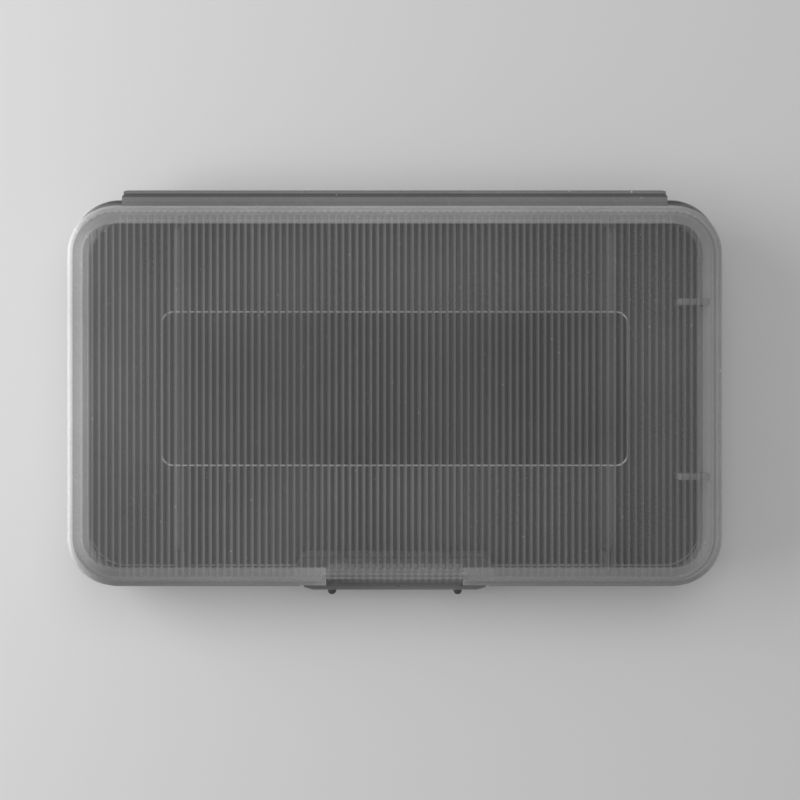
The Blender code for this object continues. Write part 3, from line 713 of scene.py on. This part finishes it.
# %% [markdown]
# The outside is plainer. Below the rim the wall leans in a little towards the foot, so that
# the moulding slides out of its mould. On the way down it carries the shelf that the flap
# catches on, and a large radius leads into the base.

# %% Outside of the tray
UNDER_RIM, UNDER_INSET, OUTSIDE_INSET = 1.1, 1.05, 1.15
WALL_TOP, WALL_RUN = RIM_TOP - UNDER_RIM, 9.85
CATCH_PROFILE = ((None, 8.86), (2.75, 8.80), (2.15, 8.20), (2.15, 7.66), (2.21, 7.60),
                 (None, 7.54))
BASE_TURN, POCKET_TURN = (2.85, 1.5), (1.75, 0.4)
# The outside is paler on the left: painted light from the lamp there.
outside_milk = tray_plan.by_side(0.50, 0.45, 0.48, 0.42)
tray_shell.add(UNDER_INSET + pocket, RIM_TOP - RIM_THICK, outside_milk)
tray_shell.add(OUTSIDE_INSET + pocket, WALL_TOP, outside_milk)
for tip, height in CATCH_PROFILE:
    wall = OUTSIDE_INSET + DRAFT * (WALL_TOP - height) / WALL_RUN + pocket
    tray_shell.add(wall if tip is None else np.where(on_catch, tip, wall), height, outside_milk)
for (inset, height), (pocket_inset, pocket_height) in zip(
        *(turn_edge(inset, radius, radius, 180, 270, 6)
          for inset, radius in (BASE_TURN, POCKET_TURN))):
    tray_shell.add(np.where(pocket > 0, pocket_inset + pocket, inset),
                   np.where(pocket > 0, pocket_height, height), outside_milk)
print("tray profile has", len(tray_shell.rings), "rings")

# %% [markdown]
# The floor's ribs stop a little short of the wall, each in a round nose. A fine painted
# highlight line runs along their front ends, where the floor turns up into the wall.

# %% Build the tray
TRAY_RIB_MILK, TRAY_VALLEY_MILK, LINE_HIGHLIGHT, BASE_MILK = 0.17, 0.10, 0.75, 0.14
TRAY_NOSE, BASE_INSET, POCKET_BASE = 0.4, 2.95, 1.85

floor_x, floor_y, from_wall = tray_plan.grid(tray_plan.ring(TRAY_INSET + inner_pocket, FLOOR))
floor_z = FLOOR + rib_height(floor_x) * rib_nose(from_wall - RIB_END, TRAY_NOSE)
# A painted highlight line along the front, where the floor turns up into the wall.
front_highlight_line = ((from_wall > LINE_FROM) & (from_wall < LINE_TO) & (floor_y < 0)
              & (np.abs(floor_x) > RECESS + POCKET_SKIN))
floor_milk = (TRAY_VALLEY_MILK + (TRAY_RIB_MILK - TRAY_VALLEY_MILK)
              * (floor_z - FLOOR) / RIB_HEIGHT + LINE_HIGHLIGHT * front_highlight_line)
base_edge = tray_plan.ring(np.where(pocket > 0, POCKET_BASE + pocket, BASE_INSET), 0.0)
tray = make_piece("tray_moulding", *tray_shell.skin(
    np.column_stack([floor_x, floor_y, floor_z]), SHEET_ZONE,
    tray_plan.flat(base_edge, 0.0), SHEET_ZONE, (floor_milk, BASE_MILK)))

# %% [markdown]
# ## Profiles carried along a line
#
# All smaller parts are a closed profile carried along a line, growing, shrinking or
# moving a little on its way. One function joins a stack of such profiles and caps its
# ends. Guides, fins, dividers and braces are flat slabs with slightly rounded edges: an
# outline carried from one face to the other while it moves in and out along a quarter
# circle at both ends.

# %% Carry a profile, and a slab made that way
OUTLINE_STEPS, EDGE_STEPS, END_STEPS = 5, 3, 6


def carry(profiles):
    """Closed skin through a stack of closed profiles of equal count, capped at both ends.

    profiles[k, i] is point i of profile k.
    """
    cells = np.arange(profiles.shape[0] * profiles.shape[1]).reshape(profiles.shape[:2])
    caps = [cells[0].tolist(), cells[-1, ::-1].tolist()]
    return profiles.reshape(-1, 3), strips_between(cells).tolist() + caps


def quarter(steps):
    """1 - sin and 1 - cos of a quarter turn, which draw an edge in along a quarter circle."""
    turn = np.radians(np.linspace(0, 90, steps + 1))
    return 1 - np.sin(turn), 1 - np.cos(turn)


def stations(half, end_round):
    """X along a strip from -half to half, and how far it is drawn in there, from 0 to 1."""
    back, drawn = quarter(END_STEPS if end_round else 0)
    ends = half - end_round * back
    return np.concatenate([-ends[::-1], ends]), np.concatenate([drawn[::-1], drawn])


def slab(low, high, radii, edge, thin):
    """Closed slab between two corners, with radii on its outline and softly rounded edges.

    thin is the axis of its thickness. Corners go anticlockwise from the high-high one, and
    a point is corner centre + (corner radius - inset) * outward. The inset is
    edge * (1 - sin) where the height above the low face is edge * (1 - cos).
    """
    flat = [axis for axis in (X, Y, Z) if axis != thin]
    low, high, radii = np.array(low), np.array(high), np.full(4, radii, float)
    corner_signs = np.array([(1, 1), (-1, 1), (-1, -1), (1, -1)])
    centres = (low + high)[flat] / 2 + corner_signs * ((high - low)[flat] / 2 - radii[:, None])
    angle = np.radians(90 * np.arange(4)[:, None] + np.linspace(0, 90, OUTLINE_STEPS + 1))
    outward = np.stack([np.cos(angle), np.sin(angle)], axis=-1).reshape(-1, 2)
    centres, reach = (np.repeat(each, OUTLINE_STEPS + 1, axis=0) for each in (centres, radii))
    inset, rise = (edge * part for part in quarter(EDGE_STEPS))
    levels = np.concatenate([low[thin] + rise, (high[thin] - rise)[::-1]])
    insets = np.concatenate([inset, inset[::-1]])
    points = np.empty((len(levels), len(centres), 3))
    points[..., flat] = centres + (reach - insets[:, None])[..., None] * outward
    points[..., thin] = levels[:, None]
    return carry(points)


def join_parts(parts):
    """Several closed skins as one list of points and one of faces."""
    starts = np.cumsum([0, *(len(points) for points, _ in parts)])
    faces = [[corner + start for corner in face]
             for (_, part_faces), start in zip(parts, starts) for face in part_faces]
    return np.concatenate([points for points, _ in parts]), faces


print("a slab has", len(slab((0, 0, 0), (9, 4, 1), 1, 0.2, Z)[0]), "points")

# %% [markdown]
# ## Guides, fins and braces in the tray
#
# Three pairs of guides can hold dividers: small twin plates on the rear and front walls
# with a slot between them. Two fins stand on the right wall, and two little braces stiffen
# the back of the latch pocket. On the real case they rise out of the floor in one piece.
# Here each foot and root goes a little way into the tray's plastic.

# %% Build the guides
GUIDE_X, GUIDE_REAR, GUIDE_FRONT, GUIDE_TOP = 52.8, 41.5, -38.3, RIM_TOP - 0.8
GUIDE_APART, GUIDE_HALF, GUIDE_RADIUS, GUIDE_EDGE = 0.8, 0.3, 0.25, 0.1
FOOT, ROOT = FLOOR - 0.2, 0.25
WALL_Y = HALF_DEPTH - 2.25
POCKET_WALL = -WALL_Y + POCKET_DEPTH + 0.1
ON_WALL_MILK, GUIDE_MILK = 0.46, 0.50
guide_parts = []
for place in (-GUIDE_X, 0.0, GUIDE_X):
    front_wall = POCKET_WALL if place == 0 else -WALL_Y
    for y_low, y_high in ((GUIDE_REAR, WALL_Y + ROOT), (front_wall - ROOT, GUIDE_FRONT)):
        for middle in (place - GUIDE_APART, place + GUIDE_APART):
            guide_parts.append(slab((middle - GUIDE_HALF, y_low, FOOT),
                                    (middle + GUIDE_HALF, y_high, GUIDE_TOP),
                                    GUIDE_RADIUS, GUIDE_EDGE, Z))
guides = make_piece("tray_guides", *join_parts(guide_parts), lambda x, y, z: np.where(
    np.abs(y) > WALL_Y - 1, ON_WALL_MILK, GUIDE_MILK))

# %% [markdown]
# The fins and braces are slabs too. From above the fins show as two pale lines off the
# right wall.

# %% Build the fins and braces
FIN_TOP, FIN_TIP, FIN_ROOT = RIM_TOP - 1.0, HALF_LENGTH - 10.25, HALF_LENGTH - 2.1
FIN_MIDDLE, FIN_APART, FIN_HALF = (GUIDE_REAR + GUIDE_FRONT) / 2, 21.6, 0.8
FIN_RADII, FIN_EDGE = (0.3, 0.6, 0.6, 0.3), 0.2
BRACE_APART, BRACE_DEPTH, BRACE_HALF = 13.3, 1.8, 0.6
BRACE_RADII, BRACE_EDGE = (1.6, 0.2, 0.2, 0.2), 0.15
FIN_TOP_MILK, FIN_MILK, TOP_GAIN, TIP_GAIN = 0.15, 0.12, 0.42, 0.12
fin_parts = []
for side in (-1, 1):
    middle, brace = FIN_MIDDLE + side * FIN_APART, side * BRACE_APART
    fin_parts += [slab((FIN_TIP, middle - FIN_HALF, FOOT), (FIN_ROOT, middle + FIN_HALF, FIN_TOP),
                       FIN_RADII, FIN_EDGE, Z),
                  slab((brace - BRACE_HALF, POCKET_WALL - ROOT, FOOT),
                       (brace + BRACE_HALF, POCKET_WALL + BRACE_DEPTH, FIN_TOP),
                       BRACE_RADII, BRACE_EDGE, X)]


def fin_milk(x, y, z):
    """The fins are palest on top, near their tips."""
    on_tip = (x > FIN_TIP - 1) & (x < FIN_TIP + 2)
    return np.where(z > FIN_TOP - 0.3, FIN_TOP_MILK + TOP_GAIN * on_tip,
                    FIN_MILK + TIP_GAIN * on_tip)


fins = make_piece("tray_fins", *join_parts(fin_parts), fin_milk)

# %% [markdown]
# ## Dividers
#
# Two loose plates cut the tray into three bays. Each is a plate 1.8 mm thick with a thin
# tongue at both ends that slides down into the guides. From above they hardly stand out:
# their tops are as grey as the ribs around them.

# %% Build the dividers
DIVIDER_LOW, DIVIDER_HIGH = box_mm("divider_left")[:, Z]
PLATE_HALF, PLATE_GAP, PLATE_RADII, PLATE_EDGE = 0.9, 0.3, (2.5, 2.5, 0.4, 0.4), 0.25
TONGUE_HALF, TONGUE_END, TONGUE_LAP, TONGUE_RADIUS, TONGUE_EDGE = 0.3, 43.1, 0.6, 0.3, 0.1
DIVIDER_TOP_MILKS, DIVIDER_SIDE_MILK = {"left": 0.44, "right": 0.41}, 0.30
dividers = {}
for place, (name, top_milk) in zip((-GUIDE_X, GUIDE_X), DIVIDER_TOP_MILKS.items()):
    parts = [slab((place - PLATE_HALF, GUIDE_FRONT + PLATE_GAP, DIVIDER_LOW),
                  (place + PLATE_HALF, GUIDE_REAR - PLATE_GAP, DIVIDER_HIGH),
                  PLATE_RADII, PLATE_EDGE, X)]
    for y_low, y_high in ((-TONGUE_END, GUIDE_FRONT + TONGUE_LAP),
                          (GUIDE_REAR - TONGUE_LAP, TONGUE_END)):
        parts.append(slab((place - TONGUE_HALF, y_low, DIVIDER_LOW),
                          (place + TONGUE_HALF, y_high, GUIDE_TOP - 0.2),
                          TONGUE_RADIUS, TONGUE_EDGE, X))
    dividers[name] = make_piece(
        f"divider_plate_{name}", *join_parts(parts),
        lambda x, y, z: np.where(z > GUIDE_TOP - 1, top_milk, DIVIDER_SIDE_MILK))

# %% [markdown]
# ## The hinge at the back
#
# Lid and tray each end in a flat flange, and a film a third of a millimetre thick joins
# them in a tight U. The flanges ride with lid and tray. The film would have to bend, but
# here it is one fixed shape in the closed position and follows neither lid nor tray.
# From above you see the bright fold, a dark gap, the grey flange and a groove at its root.

# %% Flanges of the hinge
FLANGE_HALF, FLANGE_THICK, FLANGE_CORNER = 66.9, 1.0, 0.8
FLANGE_PROFILE = ((-2.9, 0.0), (-2.5, 0.0), (-2.4, -0.09), (-2.2, -0.09), (-2.1, 0.0),
                  (-0.75, 0.0), (-0.67, 0.0), (-0.2, -0.04), (-0.05, -0.12), (0.0, -0.25),
                  (0.0, -0.75), (-0.07, -0.93), (-0.25, -1.0), (-2.9, -1.0))
GROOVE_MILK, FLANGE_MILK, FLANGE_EDGE_MILK, EDGE_WIDTH = 0.21, 0.175, 0.07, 0.7


def flange(name, high):
    """Strip behind the rear wall with soft corners and a shallow groove at its root.

    The profile, in distance from the hinge edge and from the top, is carried along X, and
    drawn in at both ends.
    """
    x, drawn = stations(FLANGE_HALF, FLANGE_CORNER)
    from_edge, drop = np.array(FLANGE_PROFILE).T
    y = HINGE_EDGE + np.minimum(from_edge, -(FLANGE_CORNER * drawn)[:, None])
    points = np.stack(np.broadcast_arrays(x[:, None], y, high + drop * FLANGE_THICK), axis=-1)
    milk = np.select([from_edge > -EDGE_WIDTH, (drop > -0.5) & (drop < 0)],
                     [FLANGE_EDGE_MILK, GROOVE_MILK], FLANGE_MILK)
    return make_piece(name, *carry(points), np.tile(milk, len(x)))


lid_flange = flange("lid_hinge_flange", LID_FOOT + FLANGE_THICK)
tray_flange = flange("tray_hinge_flange", RIM_TOP)

# %% [markdown]
# The two films are the same kind of thing: a thin strip around an arc. The hinge film
# turns half a circle and has straight legs, the latch film turns a quarter.

# %% The two films
FILM, DRAWN_IN, LEG_GAP, PAST_END, END_ROUND = 0.35, 0.66, 0.05, 0.5, 1.2
FOLD_MILK, BACK_MILK, LEG_MILK, LATCH_FILM_MILK, PALER_DOWN = 0.17, 0.36, 0.07, 0.16, 1.6


def film(centre, radius, start, end, leg, half, steps, end_round=0.0):
    """Strip in (y, z) around an arc, carried along X from -half to half.

    The middle line is centre + radius * (cos, sin), with a straight leg at either end. The
    outer and inner lines lie half a film thickness to either side of it. Over the last
    stretch, end_round, the bend is drawn in to a third along a quarter circle.
    """
    angle = np.radians(np.linspace(start, end, steps + 1))
    out = np.column_stack([np.cos(angle), np.sin(angle)])
    line = np.array(centre) + radius * out
    if leg:
        line = np.concatenate([line[:1] - (leg, 0), line, line[-1:] - (leg, 0)])
        out = np.concatenate([out[:1], out, out[-1:]])
    y, z = np.concatenate([line + out * FILM / 2, (line - out * FILM / 2)[::-1]]).T
    x, drawn = stations(half, end_round)
    y = y - np.clip(y - centre[0], 0, None) * (DRAWN_IN * drawn)[:, None]
    return carry(np.stack(np.broadcast_arrays(x[:, None], y, z), axis=-1))


film_low, film_high = box_mm("hinge_film")
BEND, PARTING = (film_high[Z] - film_low[Z] - FILM) / 2, (film_high[Z] + film_low[Z]) / 2
FOLD_Y = film_high[Y] - BEND - FILM / 2


def fold_milk(x, y, z):
    """The fold is palest in its lower half, and the legs are clear."""
    rise = (z - PARTING) / (BEND + FILM / 2)
    paler = FOLD_MILK + (BACK_MILK - FOLD_MILK) * np.clip(1 - PALER_DOWN * rise, 0, 1)
    return np.where(y > FOLD_Y - 0.1, paler, LEG_MILK)


hinge = make_piece("hinge_strip", *film(
    (FOLD_Y, PARTING), BEND, -90, 90, FOLD_Y - HINGE_EDGE - LEG_GAP, film_high[X] + PAST_END, 12,
    END_ROUND), fold_milk)
bend_high = box_mm("latch_film")[1]
LATCH_BEND = 0.4
bend_centre = (bend_high[Y], bend_high[Z] - LATCH_BEND - FILM / 2)
latch_bend = make_piece("latch_strip", *film(bend_centre, LATCH_BEND, 90, 180, 0, bend_high[X], 8),
                        LATCH_FILM_MILK)

# %% [markdown]
# ## The latch flap
#
# The flap hangs over the pocket. Its cross-section is a thin bar with a wedge-shaped nose
# on the inside, and the bar thins towards both ends. We write each point of the section as
# an array over X, so taper, rounded foot and nose are all one expression. Two half-round
# columns on the outside give a fingernail something to pull on.

# %% Build the flap
flap_low, flap_high = box_mm("latch_flap")
FLAP_HALF, FLAP_FOOT, FLAP_TOP = flap_high[X], flap_low[Z], flap_high[Z]
FLAP_INNER, FLAP_OUTER = -46.625, -47.725
FLAP_TIP, FLAP_TAPER, FOOT_RADIUS, NOSE_HALF, SOFT = 0.45, 2.2, 3.0, 15.8, 0.12
TAPER_STATIONS = (0, 0.08, 0.25, 0.5, 0.9, 1.3, 1.75, FLAP_TAPER, 2.6, FOOT_RADIUS)
NOSE_FROM, MIDWAY, SOFT_TURN = 4.9, 8.0, 0.3 * SOFT
NOSE = ((4.95, 0.0), (6.85, 2.075), (7.24, 2.075), (7.30, 2.02), (7.45, 0.0))
FLAP_MILK, FLAP_FACE_MILK = 0.18, 0.36

half_x = np.concatenate([FLAP_HALF - np.array(TAPER_STATIONS), NOSE_HALF + STEP_SIDES, [MIDWAY]])
flap_x = np.unique(np.concatenate([-half_x, [0.0], half_x]))
from_end = FLAP_HALF - np.abs(flap_x)
outer = FLAP_INNER - FLAP_TIP - (FLAP_INNER - FLAP_OUTER - FLAP_TIP) * np.clip(
    from_end / FLAP_TAPER, 0, 1)
short = np.clip(FOOT_RADIUS - from_end, 0, FOOT_RADIUS)
foot = FLAP_FOOT + FOOT_RADIUS - np.sqrt(FOOT_RADIUS**2 - short**2)
has_nose = np.abs(flap_x) < NOSE_HALF
section = [(FLAP_INNER - SOFT, FLAP_TOP), (outer + SOFT, FLAP_TOP),
           (outer + SOFT_TURN, FLAP_TOP - SOFT_TURN), (outer, FLAP_TOP - SOFT),
           (outer, foot + SOFT), (outer + SOFT_TURN, foot + SOFT_TURN), (outer + SOFT, foot),
           (FLAP_INNER - SOFT, foot), (FLAP_INNER, np.minimum(foot + SOFT, NOSE_FROM)),
           *((FLAP_INNER + reach * has_nose, np.maximum(height, foot + SOFT + STEP_WIDTH * k))
             for k, (height, reach) in enumerate(NOSE)),
           (FLAP_INNER, FLAP_TOP - SOFT)]
flap = make_piece("latch_plate", *carry(np.stack([
    np.stack(np.broadcast_arrays(flap_x, y, z), axis=-1) for y, z in section], axis=1)),
    lambda x, y, z: np.where(z > FLAP_TOP - SOFT / 2, FLAP_MILK, FLAP_FACE_MILK))

# %% [markdown]
# Each grip is a stack of half circles that shrink towards both ends. Its flat back lies a
# little way inside the flap.

# %% Build the grips
GRIP_X, GRIP_RADIUS, GRIP_LOW, GRIP_ROOT = 15.5, 1.05, 0.8, 0.2
GRIP_RISES, GRIP_SHARES = np.array([0.0, 0.06, 0.25, 0.6]), np.array([0.25, 0.62, 0.88, 1.0])
GRIP_TOP_MILK, GRIP_MILK = 0.05, 0.30
turn = np.radians(np.linspace(180, 360, 13))
grip_z = np.concatenate([FLAP_FOOT + GRIP_LOW + GRIP_RISES,
                         (FLAP_TOP - GRIP_LOW - GRIP_RISES)[::-1]])
grip_size = np.concatenate([GRIP_SHARES, GRIP_SHARES[::-1]])[:, None] * GRIP_RADIUS
grip_parts = []
for place in (-GRIP_X, GRIP_X):
    profiles = np.stack(np.broadcast_arrays(
        place + grip_size * np.cos(turn), flap_low[Y] + GRIP_RADIUS + grip_size * np.sin(turn),
        grip_z[:, None]), axis=-1)
    profiles[:, [0, -1], Y] = FLAP_OUTER + GRIP_ROOT
    grip_parts.append(carry(profiles))
grips = make_piece("latch_grips", *join_parts(grip_parts), lambda x, y, z: np.where(
    z > FLAP_TOP - GRIP_LOW - GRIP_RISES[-1] - 0.01, GRIP_TOP_MILK, GRIP_MILK))

# %% [markdown]
# ## The plastic
#
# Natural polypropylene has no pigment. Light goes in, scatters a little and comes out
# grey-white. A full scattering volume would be slow and noisy, and a thin sheet doesn't
# need one: we let each surface show part of its own colour and part of what is behind it.
# The milk number says how pale it is, and it also carries the painted light: glows,
# highlights and sides painted paler. Thick walls also get subsurface scattering, which
# carries the light of a lit outer face through to the inner one.
#
# Three small functions set up the shader nodes, here and for the floor and the world.

# %% Make shader nodes
RAMP_SOCKETS = ("From Min", "From Max", "To Min", "To Max")


def wire(tree, node, numbers=(), outputs=()):
    """Write numbers straight on some sockets of a node, and link outputs to others."""
    for socket, number in dict(numbers).items():
        node.inputs[socket].default_value = number
    for socket, output in dict(outputs).items():
        tree.links.new(output, node.inputs[socket])
    return node


def add_node(tree, kind, numbers=(), outputs=()):
    """New shader node of a kind, with its numbers and links."""
    return wire(tree, tree.nodes.new("ShaderNode" + kind), numbers, outputs)


def ramp(tree, value, *ends):
    """Map a value from one span to another: from low, from high, to low, to high."""
    span = add_node(tree, "MapRange", dict(zip(RAMP_SOCKETS, ends)), {"Value": value})
    return span.outputs["Result"]


print("sockets of a ramp:", ", ".join(RAMP_SOCKETS))

# %% [markdown]
# Cloudy patches from the flow of the melt, a fine grain, a few hairline scratches and
# specks of dust keep the plastic from looking like a drawing.

# %% Frosted plastic
PLASTIC_IOR, GLOW_REACH, GRAIN_DEPTH = 1.49, 2.5 * MILLIMETRE, 0.04 * MILLIMETRE
NOISE_SPAN = (0.3, 0.7)
CLOUDS, SPECKLE, SMEARS, GRAIN = (38, 3, 0.90, 1.10), (1400, 2, 0.95, 1.05), (300, 3), (2200, 2)
SCRATCHES, SCRATCH_RAMP = (26, 0), (0.77, 0.84, 1.0, 1.15)
SCRATCH_TURN, SCRATCH_STRETCH = (0, 0, 0.5), (0.016, 0.14, 0.14)
DUST_SCALE, DUST_RAMP = 220, (0.03, 0.06, 0.35, 0.0)
SMOOTHER, ROUGHER = 0.06, 0.08
# name: opacity, roughness, and where they differ from the others, glow and grain
FINISHES = {
    "lid_sheet": (0.20, 0.34), "lid_ribs": (0.60, 0.40), "label_matt": (0.30, 0.50, 0.0, 0.5),
    "rim_band": (0.35, 0.34), "lid_wall": (0.75, 0.34, 0.8), "tray_sheet": (0.60, 0.42),
    "tray_wall": (0.85, 0.38, 0.8), "inner_plastic": (0.45, 0.45), "bent_film": (0.85, 0.30),
    "flap_plastic": (0.88, 0.38),
}


def frosted(name, opacity, roughness, glow=0.0, grain=0.25):
    """Plastic whose colour is milk, painted light included, times slow clouds, with scratches and
    dust.
    """
    material = bpy.data.materials.new(name)
    material.use_nodes = True
    tree = material.node_tree
    place = add_node(tree, "TexCoord").outputs["Object"]
    milk = add_node(tree, "Attribute")
    milk.attribute_name = "milk"

    def noise(scale, detail, source=place):
        return add_node(tree, "TexNoise", {"Scale": scale, "Detail": detail},
                        {"Vector": source}).outputs["Fac"]

    def patches(scale, detail, low, high):
        return ramp(tree, noise(scale, detail), *NOISE_SPAN, low, high)

    def combine(operation, first, second):
        node = add_node(tree, "Math", outputs={0: first, 1: second})
        node.operation = operation
        return node.outputs["Value"]

    clouds, fine = patches(*CLOUDS), patches(*SPECKLE)
    stretched = add_node(tree, "Mapping", {"Rotation": SCRATCH_TURN, "Scale": SCRATCH_STRETCH},
                         {"Vector": place})
    stretched.vector_type = "TEXTURE"
    scratch = ramp(tree, noise(*SCRATCHES, stretched.outputs["Vector"]), *SCRATCH_RAMP)
    specks = add_node(tree, "TexVoronoi", {"Scale": DUST_SCALE}, {"Vector": place})
    dust = ramp(tree, specks.outputs["Distance"], *DUST_RAMP)
    grey = combine("MULTIPLY", milk.outputs["Fac"], combine("MULTIPLY", clouds, fine))
    grey = combine("ADD", combine("MULTIPLY", grey, scratch), dust)
    colour = add_node(tree, "CombineColor", outputs={"Red": grey, "Green": grey, "Blue": grey})
    rough = patches(*SMEARS, roughness - SMOOTHER, roughness + ROUGHER)
    bump = add_node(tree, "Bump", {"Strength": grain, "Distance": GRAIN_DEPTH},
                    {"Height": noise(*GRAIN)})
    wire(tree, tree.nodes["Principled BSDF"],
         {"Alpha": opacity, "IOR": PLASTIC_IOR, "Subsurface Weight": glow,
          "Subsurface Radius": (1, 1, 1), "Subsurface Scale": GLOW_REACH},
         {"Base Color": colour.outputs["Color"], "Roughness": rough,
          "Normal": bump.outputs["Normal"]})
    return material


finishes = {name: frosted(name, *numbers) for name, numbers in FINISHES.items()}
print("finishes:", ", ".join(finishes))

# %% [markdown]
# ## Which body carries what
#
# Each piece of the first table rides on the body it belongs to, and the node of the
# engineering model that it stands for is hidden from view, not removed. Each row also names
# a finish slot, which nothing here reads. A film hides its node too. Its row names two bodies
# and the two places between which it bends, in metres; nothing here reads them, and the film
# stays where it was built, on no body.

# %% Ride, replace, and give each piece its finishes
CARRIED = (
    (lid, "lid", "lid_shell", "shell_plastic",
     ("lid_sheet", "lid_wall", "label_matt", "rim_band", "lid_ribs")),
    (lid_flange, "lid", None, "shell_plastic", ("flap_plastic",)),
    (tray, "tray", "tray_shell", "shell_plastic", ("tray_sheet", "tray_wall")),
    (tray_flange, "tray", None, "shell_plastic", ("flap_plastic",)),
    (guides, "tray", None, "shell_plastic", ("inner_plastic",)),
    (fins, "tray", None, "shell_plastic", ("tray_wall",)),
    (dividers["left"], "tray", "divider_left", "divider_plastic", ("inner_plastic",)),
    (dividers["right"], "tray", "divider_right", "divider_plastic", ("inner_plastic",)),
    (flap, "flap", "latch_flap", "shell_plastic", ("flap_plastic",)),
    (grips, "flap", None, "shell_plastic", ("flap_plastic",)),
)
fold_metres = FOLD_Y * MILLIMETRE
BENT = (
    (hinge, "hinge_film", ("tray", "lid"), (0, fold_metres, 0.0123), (0, fold_metres, 0.0129)),
    (latch_bend, "latch_film", ("lid", "flap"), (0, -0.0464, 0.0129), (0, -0.0468, 0.0125)),
)
for piece, body, node, finish_slot, finish_names in CARRIED:
    for name in finish_names:
        piece.data.materials.append(finishes[name])
    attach(piece, body)
    if node:
        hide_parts(node)
for piece, node, bodies, start, end in BENT:
    piece.data.materials.append(finishes["bent_film"])
    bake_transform(piece)
    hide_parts(node)
print("pieces:", len(CARRIED) + len(BENT))

# %% [markdown]
# ## Floor
#
# A plain pale floor, large enough to fill the view from low angles. It is a stage, not a
# part of the case. Far away only the world lights it, so it gets paler there and meets the
# world at the same grey.

# %% Floor
FLOOR_REACH, FLOOR_DROP, FLOOR_ROUGHNESS = 6.0, 0.0002, 0.8
FLOOR_NEAR, FLOOR_FAR, FLOOR_GREY, FAR_GREY = 0.3, 1.6, 0.62, 0.98
corners = np.array([(-1, -1), (1, -1), (1, 1), (-1, 1)]) * FLOOR_REACH
floor_mesh = bpy.data.meshes.new("studio_floor")
floor_mesh.from_pydata([(x, y, -FLOOR_DROP) for x, y in corners.tolist()], [], [(0, 1, 2, 3)])
floor_object = add_object("studio_floor", floor_mesh)
floor_paint = bpy.data.materials.new("floor_paint")
floor_paint.use_nodes = True
paint_tree = floor_paint.node_tree
floor_place = add_node(paint_tree, "TexCoord").outputs["Object"]
distance = add_node(paint_tree, "VectorMath", outputs={0: floor_place})
distance.operation = "LENGTH"
floor_grey = ramp(paint_tree, distance.outputs["Value"],
                  FLOOR_NEAR, FLOOR_FAR, FLOOR_GREY, FAR_GREY)
wire(paint_tree, paint_tree.nodes["Principled BSDF"], {"Roughness": FLOOR_ROUGHNESS},
     {"Base Color": floor_grey})
floor_mesh.materials.append(floor_paint)
print("floor reaches", FLOOR_REACH, "m each way")

# %% [markdown]
# ## Light
#
# The world gives an even, soft light. A stronger softbox on the left, low enough to rake
# across the ribs, makes the left wall glow and gives each rib a lit and a dark side. A
# large one high behind the case lights the top of the rim.

# %% Light
WORLD_GREY, WORLD_STRENGTH = 0.92, 0.42
world = bpy.data.worlds.new("studio_world")
world.use_nodes = True
wire(world.node_tree, world.node_tree.nodes["Background"],
     {"Color": (*(WORLD_GREY,) * 3, 1), "Strength": WORLD_STRENGTH})
bpy.context.scene.world = world


def soft_light(name, place, size, watts):
    """Rectangular lamp that looks at the case. Its -Z axis points there."""
    lamp = bpy.data.lights.new(name, "AREA")
    lamp.shape = "RECTANGLE"
    lamp.size, lamp.size_y = size
    lamp.energy = watts
    light = add_object(name, lamp)
    light.location = x, y, z = place
    light.rotation_euler = (math.atan2(math.hypot(x, y), z), 0, math.atan2(-y, -x) - math.pi / 2)


soft_light("left_softbox", (-0.42, 0.05, 0.26), (0.5, 0.3), 1.9)
soft_light("top_softbox", (0.1, 0.35, 0.95), (0.8, 0.8), 2.6)
print("lamps:", len(bpy.data.lights))

# %% [markdown]
# ## Camera
#
# The camera looks straight down from 0.42 m above the lid, as in the photograph. The plain
# Standard view keeps every grey as it is written.

# %% Camera
LENS, SENSOR, CAMERA_PLACE = 78.7, 36, (0.00129, -0.00105, 0.4426)
camera_data = bpy.data.cameras.new("camera")
camera_data.lens, camera_data.sensor_width = LENS, SENSOR
camera = add_object("camera", camera_data)
camera.location = CAMERA_PLACE
bpy.context.scene.camera = camera
bpy.context.scene.view_settings.view_transform = "Standard"
print("camera", round(camera.location.z - TOP * MILLIMETRE, 3), "m above the lid")
